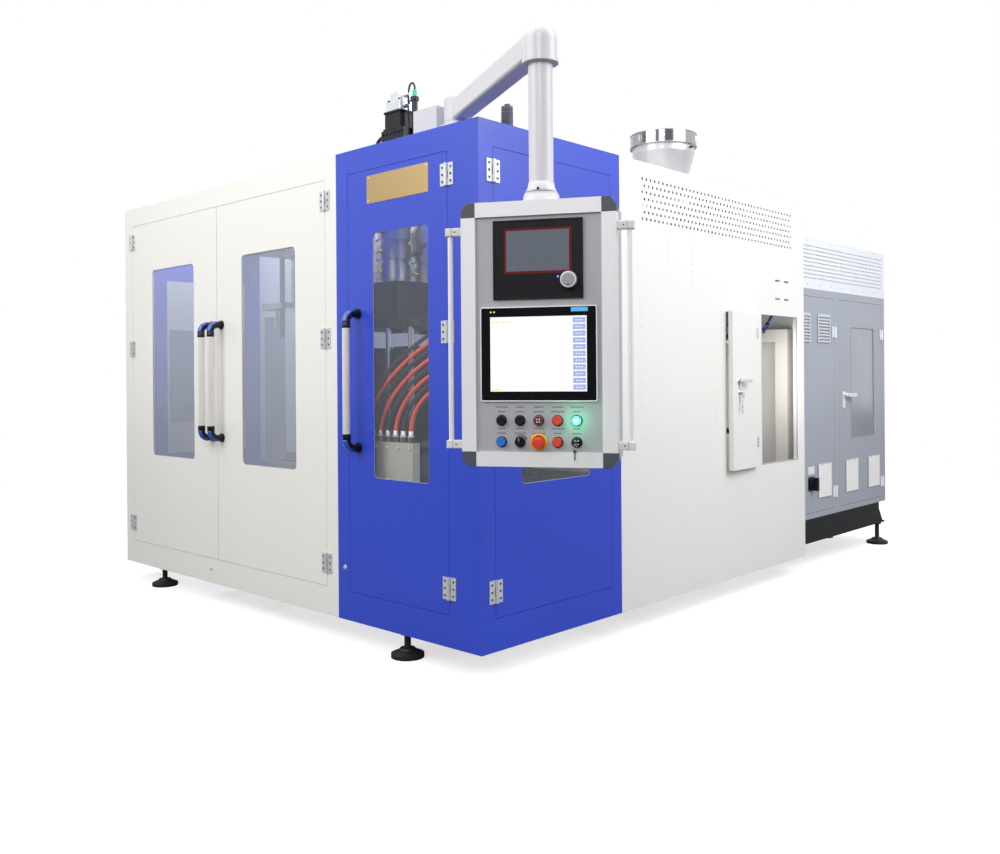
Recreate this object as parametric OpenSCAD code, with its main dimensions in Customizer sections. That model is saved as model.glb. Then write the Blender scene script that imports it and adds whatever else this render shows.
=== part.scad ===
// Shuttle blow moulding machine: an enclosed mould bay across the front, a blue corner module
// at the die heads, an extruder bay running back from it, a switchgear cabinet behind, and
// an operator panel that hangs from a swivel arm on the roof.
// The source works from the front blue corner: x = 0 is the side face, y = 0 the front face,
// z = 0 the floor. The whole machine is then moved so that the middle of its footprint is the origin.

/* [Enclosure] */
// Frame right of the white doors
white_post = 87; // [70:1:110]
// Frame left of the blue front door
blue_post = 88; // [75:1:110]
// Frame behind the blue side door
side_post = 75; // [60:1:110]
// Frame above the doors
door_head = 108; // [90:1:140]
// Free height between the floor and the enclosure
floor_gap = 115; // [95:5:150]
// Thickness of the sheet metal
sheet = 3; // [2:0.5:4]
// Depth of the front frames and of the doors in them
frame_t = 30; // [25:1:40]

/* [Doors] */
// Height of the door openings above the lower edge of the enclosure
door_sill = 137; // [125:1:160]
// Height of the door openings
door_h = 1955; // [1850:5:1980]
// Width of the white double-door opening
white_opening_w = 1993; // [1900:1:2030]
// Frame left of the white doors
white_margin = 100; // [80:5:120]
// Width of the blue front door opening
blue_opening_w = 677; // [600:1:700]
// Frame between the blue front door and the corner
blue_margin = 185; // [170:1:200]
// Width of the blue side door opening
side_opening_w = 805; // [720:1:830]
// Frame between the corner and the blue side door
side_margin = 85; // [75:1:110]
// Gap round each door
door_gap = 2; // [1.5:0.5:3]
// Door below its window
window_below = 540; // [500:1:580]
// Door above its window
window_above = 290; // [260:1:330]
// Width of the windows in the white doors
white_window_w = 500; // [420:5:560]
// Width of the window in the blue front door
blue_window_w = 380; // [320:5:400]
// How far that window sits towards the hinges
blue_window_shift = 30; // [0:5:50]
// Width of the window in the blue side door
side_window_w = 481; // [400:1:520]
// Corner radius of the windows
window_r = 30; // [15:1:50]
// Thickness of the window panes
pane_t = 5; // [4:0.5:8]

/* [Handles] */
// Radius of the handle tube
grip_r = 18; // [14:0.5:20]
// Distance from a door to the middle of the tube
grip_reach = 70; // [60:1:90]
// Height of the lower handle foot above the lower edge of the enclosure
grip_low = 815; // [760:5:860]
// Distance between the two handle feet
grip_span = 620; // [500:5:700]
// Distance of a white door's handle from the free edge
white_grip_inset = 49; // [45:1:80]
// Distance of a blue door's handle from the free edge
blue_grip_inset = 73; // [50:1:85]

/* [Hinges] */
// Height of a door hinge
hinge_h = 95; // [80:1:110]
// Width of one leaf of a door hinge
leaf_w = 39; // [32:1:44]
// Thickness of a hinge leaf
leaf_t = 4; // [3:0.5:5]
// Radius of a hinge knuckle
knuckle_r = 7.5; // [7:0.1:8]
// Radius of a hinge pin
pin_r = 3.5; // [3:0.1:4]
// Clearance of a shaft or pin in its bore
fit = 0.05; // [0.03:0.01:0.08]
// Distance of the lowest hinge from the door's lower edge
hinge_low = 113; // [90:1:150]
// Distance of the middle hinge from the door's upper edge
hinge_mid = 762; // [650:1:850]
// Distance of the top hinge from the door's upper edge
hinge_top = 100; // [80:1:150]

/* [Extruder bay side] */
// Rows of holes in the perforated band
vent_rows = 7; // [4:1:7]
// Spacing of the holes
vent_pitch = 36.6; // [32:0.1:40]
// Radius of a hole
vent_hole_r = 7.5; // [6:0.1:8.5]
// Distance of the lowest row from the top of the enclosure
vent_drop = 282; // [260:1:320]
// Distance from the front module to the first hole
vent_start = 192; // [150:1:220]
// Distance from the front module to the access opening
access_start = 989; // [950:1:1010]
// Width of the access opening
access_w = 316; // [260:1:320]
// Panel between the access opening and the side window
port_gap = 91; // [85:1:120]
// Width of the side window
port_w = 449; // [400:1:460]
// Height of both openings above the lower edge of the enclosure
port_sill = 614; // [580:1:650]
// Height of both openings
port_h = 880; // [800:1:950]
// Panel behind the side window
bay_post = 97; // [80:1:200]
// Length of the four slots above the side window
slot_len = 58; // [40:1:80]
// Height of a slot
slot_h = 10; // [6:0.5:14]
// Depth of the access door
access_t = 27; // [20:1:30]
// Angle at which the access door is left ajar
access_ajar = 3; // [0:1:10]

/* [Cabinet] */
// Depth of the cabinet
cab_depth = 500; // [420:5:600]
// How far the cabinet sits behind the side face
cab_recess = 70; // [40:1:90]
// Height of the hood
hood_h = 330; // [290:5:380]
// Depth of the cabinet doors
cab_door_t = 25; // [20:1:30]
// Width of the left door opening
cab_left_w = 570; // [520:1:580]
// Width of the right door opening
cab_right_w = 735; // [650:1:740]
// Post between the cabinet doors
cab_post = 70; // [60:1:90]
// Frame left of the left door
cab_margin = 28; // [25:1:40]
// Frame right of the right door
cab_far_margin = 60; // [40:1:80]
// Sill below the cabinet doors
cab_sill = 37; // [30:1:50]
// Frame above the cabinet doors
cab_head = 49; // [40:1:60]
// Height of the cabinet door openings
cab_door_h = 1414; // [1350:1:1420]
// Spacing of the hood's holes
hood_pitch = 26; // [24:0.5:32]
// Radius of the hood's holes
hood_hole_r = 6; // [4:0.1:8]

/* [Base and feet] */
// Height of the front base tubes
base_h = 120; // [100:5:140]
// Width of the base tubes
base_w = 80; // [60:5:90]
// Height of the rear channels above the floor
rail_z = 159; // [140:1:175]
// Height of the rear channels
rail_h = 156; // [140:1:170]
// Radius of a foot pad
pad_r = 75; // [60:1:90]
// Thickness of a foot pad
pad_t = 34; // [25:1:45]
// Radius of a foot stud
stud_r = 15; // [12:0.5:20]

/* [Arm and panel] */
// Distance of the arm's pivot from the side face
pivot_in = 205; // [150:5:260]
// Distance of the arm's pivot from the front face
pivot_back = 85; // [75:1:120]
// Length of the arm
arm_len = 900; // [850:5:1000]
// Direction of the arm, forwards of the side face's normal
arm_angle = 26; // [15:1:35]
// Height of the arm beam
beam_h = 92; // [80:1:100]
// Width of the arm beam
beam_w = 80; // [70:1:90]
// Radius of the elbow
elbow_r = 59; // [55:1:65]
// Radius of the drop tube
drop_r = 42; // [36:1:46]
// Height of the panel's top edge above the floor
panel_top = 1842; // [1800:1:1900]
// Width of the operator panel
panel_w = 530; // [500:1:580]
// Height of the operator panel
panel_h = 890; // [870:1:960]
// Depth of the operator panel
panel_d = 150; // [130:1:180]
// Turn of the panel against the front face
panel_turn = 29; // [15:1:45]
// Width of the panel's frame bars
bar_w = 50; // [40:1:52]
// Width of the bevel on the panel's corners
bevel_u = 20; // [12:1:26]
// Height of that bevel
bevel_z = 28; // [12:1:34]
// Radius of the grab rails
rail_r = 9; // [7:0.5:11]
// Distance from the panel to a grab rail's middle
rail_reach = 42; // [38:1:50]
// Spacing of the push buttons
button_pitch = 64; // [60:1:68]
// Radius of a button's stem
stem_r = 11; // [9:0.1:12]
// Radius of a button's head
head_r = 15; // [13.5:0.1:17]
// Travel of a push button
button_travel = 4; // [3:0.5:5]

/* [Extruder] */
// Distance of the extruder's axis from the side face
screw_in = 560; // [520:5:600]
// Distance of the extruder's axis below the roof
screw_drop = 395; // [380:1:410]
// Radius of the barrel
barrel_r = 75; // [65:1:80]
// Radius of the screw over its flights
screw_r = 35; // [28:1:40]
// Distance of the hopper from the front module
hopper_back = 1225; // [1200:5:1240]
// Radius of the hopper's ring
hopper_r = 200; // [160:5:230]
// Height of the hopper's rim above the roof
hopper_rise = 408; // [350:5:450]

/* [Moulding] */
// Distance of the die heads from the side face
head_in = 840; // [820:1:860]
// Distance of the middle of the die heads from the front face
head_back = 370; // [360:1:380]
// Distance between the two die heads
head_pitch = 220; // [200:1:240]
// Radius of a die head
head_body_r = 75; // [65:1:85]
// Distance from the die heads to the blow station
shuttle = 1000; // [950:5:1050]
// Distance of the mould carriage below the plate of the die heads
carriage_drop = 636; // [626:1:646]
// Half length of the carriage
carriage_half = 400; // [380:1:410]
// Opening travel of one mould half
mould_travel = 99; // [80:1:105]
// Thickness of a mould half
mould_t = 120; // [100:1:125]
// Height of the moulds
mould_h = 400; // [350:1:410]
// Length of the moulds
mould_len = 400; // [390:1:410]
// Radius of the tie bars
tie_r = 22; // [18:1:26]
// Travel of the blow pins
pin_travel = 120; // [80:5:130]
// Number of coolant hoses
hose_count = 8; // [4:1:9]
// Radius of a coolant hose
hose_r = 9; // [6:0.5:11]

/* [Hidden] */
$fn = 64;

// Overall sizes, from the openings and the frames round them
blue_len = blue_post + blue_opening_w + blue_margin;
front_len = white_margin + white_opening_w + white_post + blue_len;
front_depth = side_margin + side_opening_w + side_post;
port_start = access_start + access_w + port_gap;
bay_len = port_start + port_w + bay_post;
body_h = door_sill + door_h + door_head;
cab_h = cab_sill + cab_door_h + cab_head;
cab_len = cab_margin + cab_left_w + cab_post + cab_right_w + cab_far_margin;

// Gap at the seams between welded or screwed pieces of one node
seam = 0.5;

// Main levels and planes
body_z = floor_gap;
top_z = floor_gap + body_h;
bay_end = front_depth + bay_len;
cab_end = bay_end + cab_len;
cab_z = rail_z + rail_h;
door_z = body_z + door_sill;
window_z = door_z + window_below;
window_h = door_h - window_below - window_above;
grip_z = body_z + grip_low;
door_top = door_z + door_h;
hinge_zs = [door_z + hinge_low, door_top - hinge_mid, door_top - hinge_top];

// Door openings on the front, as x of the left and right edges
white_x0 = -front_len + white_margin;
white_x1 = white_x0 + white_opening_w;
white_split = (white_x0 + white_x1) / 2;
blue_x1 = -blue_margin;
blue_x0 = blue_x1 - blue_opening_w;
blue_window_x = (blue_x0 + blue_x1) / 2 + blue_window_shift;

// Openings on the side, where the first coordinate is the distance from the corner
side_y0 = side_margin;
side_y1 = side_y0 + side_opening_w;
access_y0 = front_depth + access_start;
access_y1 = access_y0 + access_w;
port_y0 = front_depth + port_start;
port_y1 = port_y0 + port_w;
port_z = body_z + port_sill;
slot_ys = [port_y0 + 174, port_y0 + 284];
slot_zs = [port_z + port_h + 97, port_z + port_h + 206];
cab_left_y0 = bay_end + cab_margin;
cab_left_y1 = cab_left_y0 + cab_left_w;
cab_right_y0 = cab_left_y1 + cab_post;
cab_right_y1 = cab_right_y0 + cab_right_w;
cab_door_z = cab_z + cab_sill;
cab_hinge_zs = [cab_door_z + 110, cab_door_z + cab_door_h - 225];
vent_w = 186;
vent_h = 188;
vent_top = 299;
filter_h = 221;
cab_window_w = 390;
cab_window_below = 460;
cab_window_above = 184;
cab_window_h = cab_door_h - cab_window_below - cab_window_above;
cab_window_z = cab_door_z + cab_window_below;
cab_window_y = cab_right_y0 + 200;
cab_lever_y = cab_right_y0 + 75;
cab_lever_z = cab_door_z + cab_window_below + 300;
isolator_y = cab_left_y0 + 210;
isolator_z = cab_door_z + 190;

// Hinge details
pin_out = knuckle_r + 0.5;
knuckle_gap = 0.5;
cab_leaf_w = 36;
cab_hinge_h = 75;
access_pin_out = 8;
access_knuckle_r = 5;
access_pin_r = 2;
access_overlap = 4;
access_clear = 0.5;
access_hinge_zs = [port_z + 110, port_z + port_h - 145];
access_pin_y = access_y1 + access_overlap + access_pin_out;
access_lever_y = access_y0 + 75;
access_lever_z = port_z + 490;

// Arm and panel places
pivot = [-pivot_in, pivot_back];
elbow = pivot + arm_len * [cos(arm_angle), -sin(arm_angle)];
base_flange_t = 12;
base_gap = 1;
beam_z = top_z + 28;
beam_edge_r = 14;
elbow_skirt = 26;
elbow_wall = 52;
king_pin_r = 20;
drop_z = panel_top + 34;
panel_bottom = panel_top - panel_h;
panel_front = -panel_d / 2;
rail_u = panel_w / 2 + rail_reach;
rail_v = panel_front + 16;
bracket_h = 26;
bracket_t = 24;
bracket_u = rail_u + 13;
rail_z0 = panel_bottom + 60;
rail_z1 = panel_top - 82;
bezel_lip = 8;
plate_t = 4;
plate_v = panel_front + bezel_lip;
row_1_z = panel_bottom + 155;
row_2_z = panel_bottom + 83;
controller_w = 306;
controller_h = 266;
controller_z = panel_bottom + 560;
controller_knob_u = 107;
controller_knob_z = controller_z + 61;
controller_proud = 6;
screen_w = 394;
screen_h = 314;
screen_z = panel_bottom + 220;
knob_shaft_r = 6;

// Feet: x, y of each stud
front_foot_y = frame_t + base_w / 2 - 10;
back_foot_y = front_depth - sheet - base_w / 2;
rail_x_right = -cab_recess - base_w;
rail_x_left = -cab_recess - cab_depth;
bay_rail_x = -blue_len + sheet + 77;
base_end = cab_end - 120;
rear_foot_y = base_end + 60;
foot_plate_t = 12;
gusset_t = 8;
end_foot = 370;
corner_foot = 525;
feet = [[-corner_foot, front_foot_y, body_z], [-front_len + end_foot, front_foot_y, body_z],
  [-corner_foot, back_foot_y, body_z], [-front_len + end_foot, back_foot_y, body_z],
  [bay_rail_x + base_w / 2, bay_end - 407, rail_z],
  [rail_x_right + base_w / 2, rear_foot_y, rail_z], [rail_x_left + base_w / 2, rear_foot_y, rail_z]];

// Extruder stand and drive
leg_y0 = (access_y1 + port_y0) / 2 - base_w / 2;
leg_y1 = bay_end - 12 - base_w;
bay_beam_y = front_depth + 235;
deck_h = 80;
screw_z = top_z - screw_drop;
deck_z = screw_z - 460;
hopper_y = front_depth + hopper_back;
barrel_y0 = front_depth - 275;
throat_len = 300;
throat_y0 = hopper_y - throat_len / 2;
gearbox_y0 = hopper_y + throat_len / 2;
gearbox_len = 340;
gearbox_w = 420;
gearbox_top = screw_z + 180;
motor_r = 115;
motor_len = 460;
motor_z = deck_z + deck_h + motor_r + 12;
screw_shaft_r = 25;

tank_w = 520;
tank_len = 760;
tank_h = 430;
tank_wall = 5;
lid_t = 12;

// Moulding bay levels
die_plate_z = screw_z - 434;
carriage_z = die_plate_z - carriage_drop;
bed_z = carriage_z - 210;
bed_h = 120;
rail_section = 40;
bed_x1 = -380;
bed_x0 = -head_in - shuttle - 460;
bed_ys = [head_back - 170, head_back + 270];
sill_y0 = 50;
sill_w = 100;
deck_gap = 1;
carriage_plate_t = 40;
end_plate_t = 30;
mould_z = carriage_z + carriage_plate_t + 110;
platen_t = 40;
platen_h = 500;
tie_low_z = carriage_z + carriage_plate_t + 50;
tie_back_y = head_back + mould_len / 2 + tie_r + 23;
ties = [[head_back - 150, tie_low_z], [head_back + 150, tie_low_z],
  [tie_back_y, mould_z + mould_h - 50]];
platen_y0 = head_back - mould_len / 2;
platen_y1 = tie_back_y + tie_r + 18;
closed_gap = 1;
mould_face = closed_gap / 2 + mould_travel;
platen_x = mould_face + mould_t;
rod_r = 20;
cylinder_r = 45;
cylinder_len = 110;
die_plate_t = 40;
die_block_h = 188;
die_block_z = die_plate_z + die_plate_t;
head_z = die_block_z + die_block_h;
head_h = 300;
head_ys = [head_back - head_pitch / 2, head_back + head_pitch / 2];
blow_x = -head_in - shuttle;
gantry_top = top_z - 365;
gantry_t = 30;
blow_bar_z = gantry_top - 310;
guide_z0 = blow_bar_z - 150;
blow_bar_t = 30;
blow_pin_r = 11;
guide_r = 15;
guide_dx = 110;
column_r = 14;
column_xs = [-720, -560];
manifold_x0 = -910;
manifold_x1 = -480;
manifold_h = 200;
hose_y = 75;
nipple_h = 25;
hose_z0 = bed_z + bed_h + manifold_h + nipple_h + 1.5;
hose_x_end = -130;
hose_z_end = bed_z + 630;
hose_row = 35;
hose_steps = 14;

// The middle of the footprint, from the outermost corners of the grab-rail brackets
function panel_x(u, v) = elbow[0] + u * cos(panel_turn) - v * sin(panel_turn);
function panel_y(u, v) = elbow[1] + u * sin(panel_turn) + v * cos(panel_turn);
bracket_v = rail_v - bracket_t / 2;
max_x = panel_x(bracket_u, bracket_v);
min_y = panel_y(-bracket_u, bracket_v);
max_y = max(rear_foot_y + pad_r, cab_end);
mid_x = (max_x - front_len) / 2;
mid_y = (min_y + max_y) / 2;

white_c = "#E9E9E3";
blue_c = "#4355C8";
grey_c = "#A0A5B5";
black_c = "#22252A";
steel_c = "#C9CCD0";
dark_c = "#4A505A";

// General helpers

// Moves the machine from its corner to the middle of its footprint
module placed() {
  translate([-mid_x, -mid_y, 0]) children();
}

// Turns what is drawn for the front face on to the side face, recess behind it
module on_side(recess = 0) {
  translate([-recess, 0, 0]) rotate([0, 0, 90]) children();
}

// Puts panel parts, drawn facing -y round the drop tube's axis, in place
module on_panel() {
  translate([elbow[0], elbow[1], 0]) rotate([0, 0, panel_turn]) children();
}

// A block from its lowest to its highest corner
module block(low, high) {
  translate(low) cube(high - low);
}

// Upright plate from a 2D outline in x and z, from y0 backwards
module front_plate(y0, t) {
  translate([0, y0 + t, 0]) rotate([90, 0, 0]) linear_extrude(t) children();
}

// Upright plate from a 2D outline in y and z, from x0 to the right
module side_plate(x0, t) {
  translate([x0, 0, 0]) rotate([90, 0, 90]) linear_extrude(t) children();
}

module rect(low, high) {
  translate(low) square(high - low);
}

// Rectangle with round corners
module round_rect(low, high, r) {
  rect(low + [r, 0], high - [r, 0]);
  rect(low + [0, r], high - [0, r]);
  for (x = [low[0] + r, high[0] - r], y = [low[1] + r, high[1] - r]) translate([x, y]) circle(r);
}

// Hollow rectangular outline
module ring_rect(low, high, wall) {
  difference() {
    rect(low, high);
    rect(low + [wall, wall], high - [wall, wall]);
  }
}

// Rectangle with bevelled corners, cut along the panel's two bevel lengths
module bevel_rect(low, high, inset = 0) {
  u = bevel_u - inset;
  v = bevel_z - inset;
  polygon([[low[0] + u, low[1]], [high[0] - u, low[1]], [high[0], low[1] + v], [high[0], high[1] - v],
    [high[0] - u, high[1]], [low[0] + u, high[1]], [low[0], high[1] - v], [low[0], low[1] + v]]);
}

// Rod along y
module rod_y(x, y0, z, r, len) {
  translate([x, y0, z]) rotate([-90, 0, 0]) cylinder(r = r, h = len);
}

// Rod along x
module rod_x(x0, y, z, r, len) {
  translate([x0, y, z]) rotate([0, 90, 0]) cylinder(r = r, h = len);
}

// Rows of round holes, every second row shifted by half a pitch where stagger is 1
module hole_rows(start, cols, rows, pitch, row_step, r, stagger) {
  for (j = [0 : rows - 1], i = [0 : cols - 1 - stagger * (j % 2)])
    translate(start + [(i + stagger * (j % 2) / 2) * pitch, j * row_step]) circle(r);
}

// Swept tube along points in an x-z plane
function tube_ring(p, dir, r, sides) =
  let (n = [-dir[1], dir[0]])
  [for (k = [0 : sides - 1])
    let (a = 360 * k / sides)
    [p[0] + n[0] * r * cos(a), r * sin(a), p[1] + n[1] * r * cos(a)]];

function unit(v) = v / norm(v);

module flat_tube(path, r, sides = 8) {
  last = len(path) - 1;
  rings = [for (i = [0 : last])
    tube_ring(path[i], unit(path[min(i + 1, last)] - path[max(i - 1, 0)]), r, sides)];
  faces = concat(
    [[for (k = [0 : sides - 1]) k]],
    [for (i = [0 : last - 1], k = [0 : sides - 1])
      [i * sides + k, (i + 1) * sides + k, (i + 1) * sides + (k + 1) % sides, i * sides + (k + 1) % sides]],
    [[for (k = [sides - 1 : -1 : 0]) last * sides + k]]);
  polyhedron([for (ring = rings) for (p = ring) p], faces);
}

// Hinges: the pin stands upright at the origin's x, in front of the face y = 0.
// side = 1 puts the moving leaf on +x, side = -1 on -x.

module fixed_leaf(z, side, w, h) {
  third = h / 3;
  mirror([side > 0 ? 0 : 1, 0, 0]) translate([0, 0, z]) {
    difference() {
      union() {
        block([-w, -leaf_t, -h / 2], [-door_gap, 0, h / 2]);
        for (s = [-h / 2, h / 2 - third + knuckle_gap])
          translate([0, -pin_out, s]) cylinder(r = knuckle_r, h = third - knuckle_gap);
        for (s = [-h / 2, h / 2 - third + knuckle_gap])
          block([-knuckle_r, -pin_out, s], [-door_gap, -leaf_t / 2, s + third - knuckle_gap]);
      }
      block([-knuckle_r - 1, -2 * pin_out, -third / 2], [0, 1, third / 2]);
    }
    translate([0, -pin_out, -h / 2]) cylinder(r = pin_r, h = h);
  }
}

module moving_leaf(z, side, w, h) {
  third = h / 3;
  mirror([side > 0 ? 0 : 1, 0, 0]) translate([0, 0, z]) difference() {
    union() {
      block([knuckle_r + 1.5, -leaf_t, -h / 2], [w, 0, h / 2]);
      block([door_gap, -leaf_t, -third / 2 + knuckle_gap], [w, 0, third / 2 - knuckle_gap]);
      translate([0, -pin_out, -third / 2 + knuckle_gap])
        cylinder(r = knuckle_r, h = third - 2 * knuckle_gap);
      block([door_gap, -pin_out, -third / 2 + knuckle_gap],
        [knuckle_r, -leaf_t / 2, third / 2 - knuckle_gap]);
    }
    translate([0, -pin_out, -h / 2]) cylinder(r = pin_r + fit, h = h);
  }
}

module hinge_row(x, zs, side, w, h) {
  translate([x, 0, 0]) for (z = zs) fixed_leaf(z, side, w, h);
}

// Tray door between two edges, with a stiffened window

module tray_door(x0, x1, z0, z1, t, hinge_side, zs, w, h) {
  low = [x0 + door_gap, z0 + door_gap];
  high = [x1 - door_gap, z1 - door_gap];
  front_plate(0, sheet) difference() {
    rect(low, high);
    children();
  }
  front_plate(sheet, t - sheet) ring_rect(low, high, sheet);
  translate([hinge_side > 0 ? x0 : x1, 0, 0]) for (z = zs) moving_leaf(z, hinge_side, w, h);
}

module window_cut(mid, w, z, h) {
  round_rect([mid - w / 2, z], [mid + w / 2, z + h], window_r);
}

pane_margin = 12;
stiffener_w = 25;
stiffener_t = 17;

module window_stiffener(mid, w, z, h) {
  e = pane_margin + 2;
  front_plate(sheet, stiffener_t)
    ring_rect([mid - w / 2 - e - stiffener_w, z - e - stiffener_w],
      [mid + w / 2 + e + stiffener_w, z + h + e + stiffener_w], stiffener_w);
}

module window_pane(mid, w, z, h) {
  color("#BFD3EA", 0.4) front_plate(sheet, pane_t)
    rect([mid - w / 2 - pane_margin, z - pane_margin],
      [mid + w / 2 + pane_margin, z + h + pane_margin]);
}

// Tube handle on two elbows
module grip(x) {
  bend = 40;
  foot_r = grip_r + 6;
  foot_t = 8;
  for (end = [0, 1])
    translate([x, 0, grip_z + end * grip_span]) mirror([0, 0, end]) {
      color(black_c) {
        rod_y(0, -foot_t, 0, foot_r, foot_t);
        rod_y(0, -grip_reach + bend, 0, grip_r, grip_reach - bend);
        translate([0, bend - grip_reach, bend]) rotate([90, 0, 90]) rotate_extrude(angle = 90)
          translate([-bend, 0]) circle(grip_r);
      }
    }
  color("#D9CDB8") translate([x, -grip_reach, grip_z + bend])
    cylinder(r = grip_r, h = grip_span - 2 * bend);
}

// Base and feet

// Beams of the base, from corner to corner. Each stops a seam short of the one that it meets.
module base_beams(beams) {
  for (b = beams) block(b[0], b[1]);
}

module machine_base() {
  y0 = frame_t;
  y1 = front_depth - sheet;
  x0 = -front_len + sheet;
  x1 = -frame_t;
  deck_top = deck_z + deck_h;
  foot_end = rear_foot_y + base_w / 2;
  color(black_c) {
    base_beams([for (y = [y0, y1 - base_w]) [[x0, y, body_z], [x1, y + base_w, body_z + base_h]]]);
    base_beams([for (x = [x0, bed_x0, blow_x - base_w / 2, bed_x1 - base_w, x1 - base_w])
      [[x, y0 + base_w + seam, body_z], [x + base_w, y1 - base_w - seam, body_z + base_h]]]);
    // Rails under the extruder bay and the cabinet
    base_beams([
      [[rail_x_right, y1 + seam, rail_z], [rail_x_right + base_w, base_end, cab_z]],
      [[bay_rail_x, y1 + seam, rail_z], [bay_rail_x + base_w, bay_end - sheet, cab_z]],
      [[rail_x_left, leg_y1 + base_w + seam, rail_z], [rail_x_left + base_w, base_end, cab_z]]]);
    base_beams([for (y = [bay_beam_y, leg_y0, leg_y1])
      [[bay_rail_x + base_w + seam, y, rail_z], [rail_x_right - seam, y + base_w, cab_z]]]);
    base_beams([for (y = [(bay_end + cab_end) / 2, base_end - base_w])
      [[rail_x_left + base_w + seam, y, rail_z], [rail_x_right - seam, y + base_w, cab_z]]]);
    // Foot plates with gussets behind the last cross beam
    for (x = [rail_x_left, rail_x_right]) {
      block([x, base_end + seam, rail_z], [x + base_w, foot_end, rail_z + foot_plate_t]);
      for (s = [gusset_t, base_w - 2 * gusset_t])
        side_plate(x + s, gusset_t) polygon([[base_end + seam, rail_z + foot_plate_t + seam],
          [foot_end - 15, rail_z + foot_plate_t + seam], [base_end + seam, cab_z - 20]]);
    }
    // Legs and deck that carry the extruder drive
    for (y = [leg_y0, leg_y1]) {
      base_beams([for (x = [bay_rail_x, rail_x_right])
        [[x, y, cab_z + seam], [x + base_w, y + base_w, deck_z - seam]]]);
      block([bay_rail_x, y, deck_z], [rail_x_right + base_w, y + base_w, deck_top]);
    }
    base_beams([for (s = [-1, 1])
      [[-screw_in + s * 150 - base_w / 2, leg_y0 + base_w + seam, deck_z],
        [-screw_in + s * 150 + base_w / 2, leg_y1 - seam, deck_top]]]);
  }
}

module levelling_foot(top) {
  hub_r = pad_r * 0.45;
  nut_r = stud_r * 2;
  rotate_extrude() polygon([[0, 0], [pad_r, 0], [pad_r, pad_t * 0.55], [hub_r + 6, pad_t],
    [hub_r, pad_t + 8], [0, pad_t + 8]]);
  translate([0, 0, pad_t + 8]) cylinder(r = stud_r, h = top - pad_t - 8);
  translate([0, 0, top - 16]) cylinder(r = nut_r, h = 16, $fn = 6);
}

module levelling_feet() {
  color(black_c) for (f = feet) translate([f[0], f[1], 0]) levelling_foot(f[2]);
}

// Enclosure

module white_front_frame() {
  color(white_c) front_plate(0, frame_t) difference() {
    rect([-front_len, body_z], [-blue_len, top_z]);
    rect([white_x0, door_z], [white_x1, door_top]);
  }
}

module blue_corner_frame() {
  color(blue_c) {
    front_plate(0, frame_t) difference() {
      rect([-blue_len, body_z], [0, top_z]);
      rect([blue_x0, door_z], [blue_x1, door_top]);
    }
    side_plate(-frame_t, frame_t) difference() {
      rect([frame_t, body_z], [front_depth, top_z]);
      rect([side_y0, door_z], [side_y1, door_top]);
    }
  }
}

module blue_roof() {
  color(blue_c) difference() {
    block([-blue_len, frame_t, top_z - sheet], [-frame_t, front_depth, top_z]);
    translate([pivot[0], pivot[1], top_z - 2 * sheet]) cylinder(r = king_pin_r + 8, h = 3 * sheet);
  }
}

module mould_bay_shell() {
  color(white_c) {
    x0 = -front_len + sheet + seam;
    block([-front_len, frame_t, body_z], [-front_len + sheet, front_depth, top_z]);
    block([x0, front_depth - sheet, body_z], [-blue_len, front_depth, top_z]);
    block([x0, frame_t, top_z - sheet], [-blue_len, front_depth - sheet - seam, top_z]);
  }
}

vent_cols = floor((bay_len - vent_start - 120) / vent_pitch);

module opening_flange(y0, y1) {
  on_side() front_plate(sheet, 22) ring_rect([y0 - sheet, port_z - sheet],
    [y1 + sheet, port_z + port_h + sheet], sheet);
}

module side_panel() {
  color(white_c) {
    side_plate(-sheet, sheet) difference() {
      rect([front_depth, body_z], [bay_end, top_z]);
      for (span = [[access_y0, access_y1], [port_y0, port_y1]])
        rect([span[0], port_z], [span[1], port_z + port_h]);
      for (y = slot_ys, z = slot_zs) rect([y, z], [y + slot_len, z + slot_h]);
      hole_rows([front_depth + vent_start, top_z - vent_drop], vent_cols, vent_rows, vent_pitch,
        vent_pitch * 0.9, vent_hole_r, 1);
    }
    opening_flange(access_y0, access_y1);
    opening_flange(port_y0, port_y1);
    on_side() for (z = access_hinge_zs) access_fixed_hinge(z);
  }
}

module extruder_bay_shell() {
  x0 = -blue_len;
  color(white_c) {
    block([x0, front_depth, body_z], [x0 + sheet, bay_end, top_z]);
    difference() {
      block([x0 + sheet + seam, bay_end - sheet, body_z], [-sheet, bay_end, top_z]);
      for (x = [rail_x_left, rail_x_right])
        block([x - 2, bay_end - 2 * sheet, rail_z - 2], [x + base_w + 2, bay_end + sheet, cab_z + 2]);
    }
    difference() {
      block([x0 + sheet + seam, front_depth, top_z - sheet], [-sheet, bay_end - sheet - seam, top_z]);
      translate([-screw_in, hopper_y, top_z - 2 * sheet]) cylinder(r = hopper_r - 50, h = 3 * sheet);
    }
  }
}

module door_hinges() {
  color(steel_c) {
    hinge_row(white_x0, hinge_zs, 1, leaf_w, hinge_h);
    hinge_row(white_x1, hinge_zs, -1, leaf_w, hinge_h);
    hinge_row(blue_x1, hinge_zs, -1, leaf_w, hinge_h);
    on_side() hinge_row(side_y0, hinge_zs, 1, leaf_w, hinge_h);
    on_side(cab_recess) {
      hinge_row(cab_left_y1, cab_hinge_zs, -1, cab_leaf_w - 2, cab_hinge_h);
      hinge_row(cab_right_y1, cab_hinge_zs, -1, cab_leaf_w - 2, cab_hinge_h);
    }
  }
}

// Doors

module white_door(left) {
  x0 = left ? white_x0 : white_split;
  x1 = left ? white_split : white_x1;
  color(white_c) {
    tray_door(x0, x1, door_z, door_top, frame_t, left ? 1 : -1, hinge_zs, leaf_w, hinge_h)
      window_cut((x0 + x1) / 2, white_window_w, window_z, window_h);
    window_stiffener((x0 + x1) / 2, white_window_w, window_z, window_h);
  }
}

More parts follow.
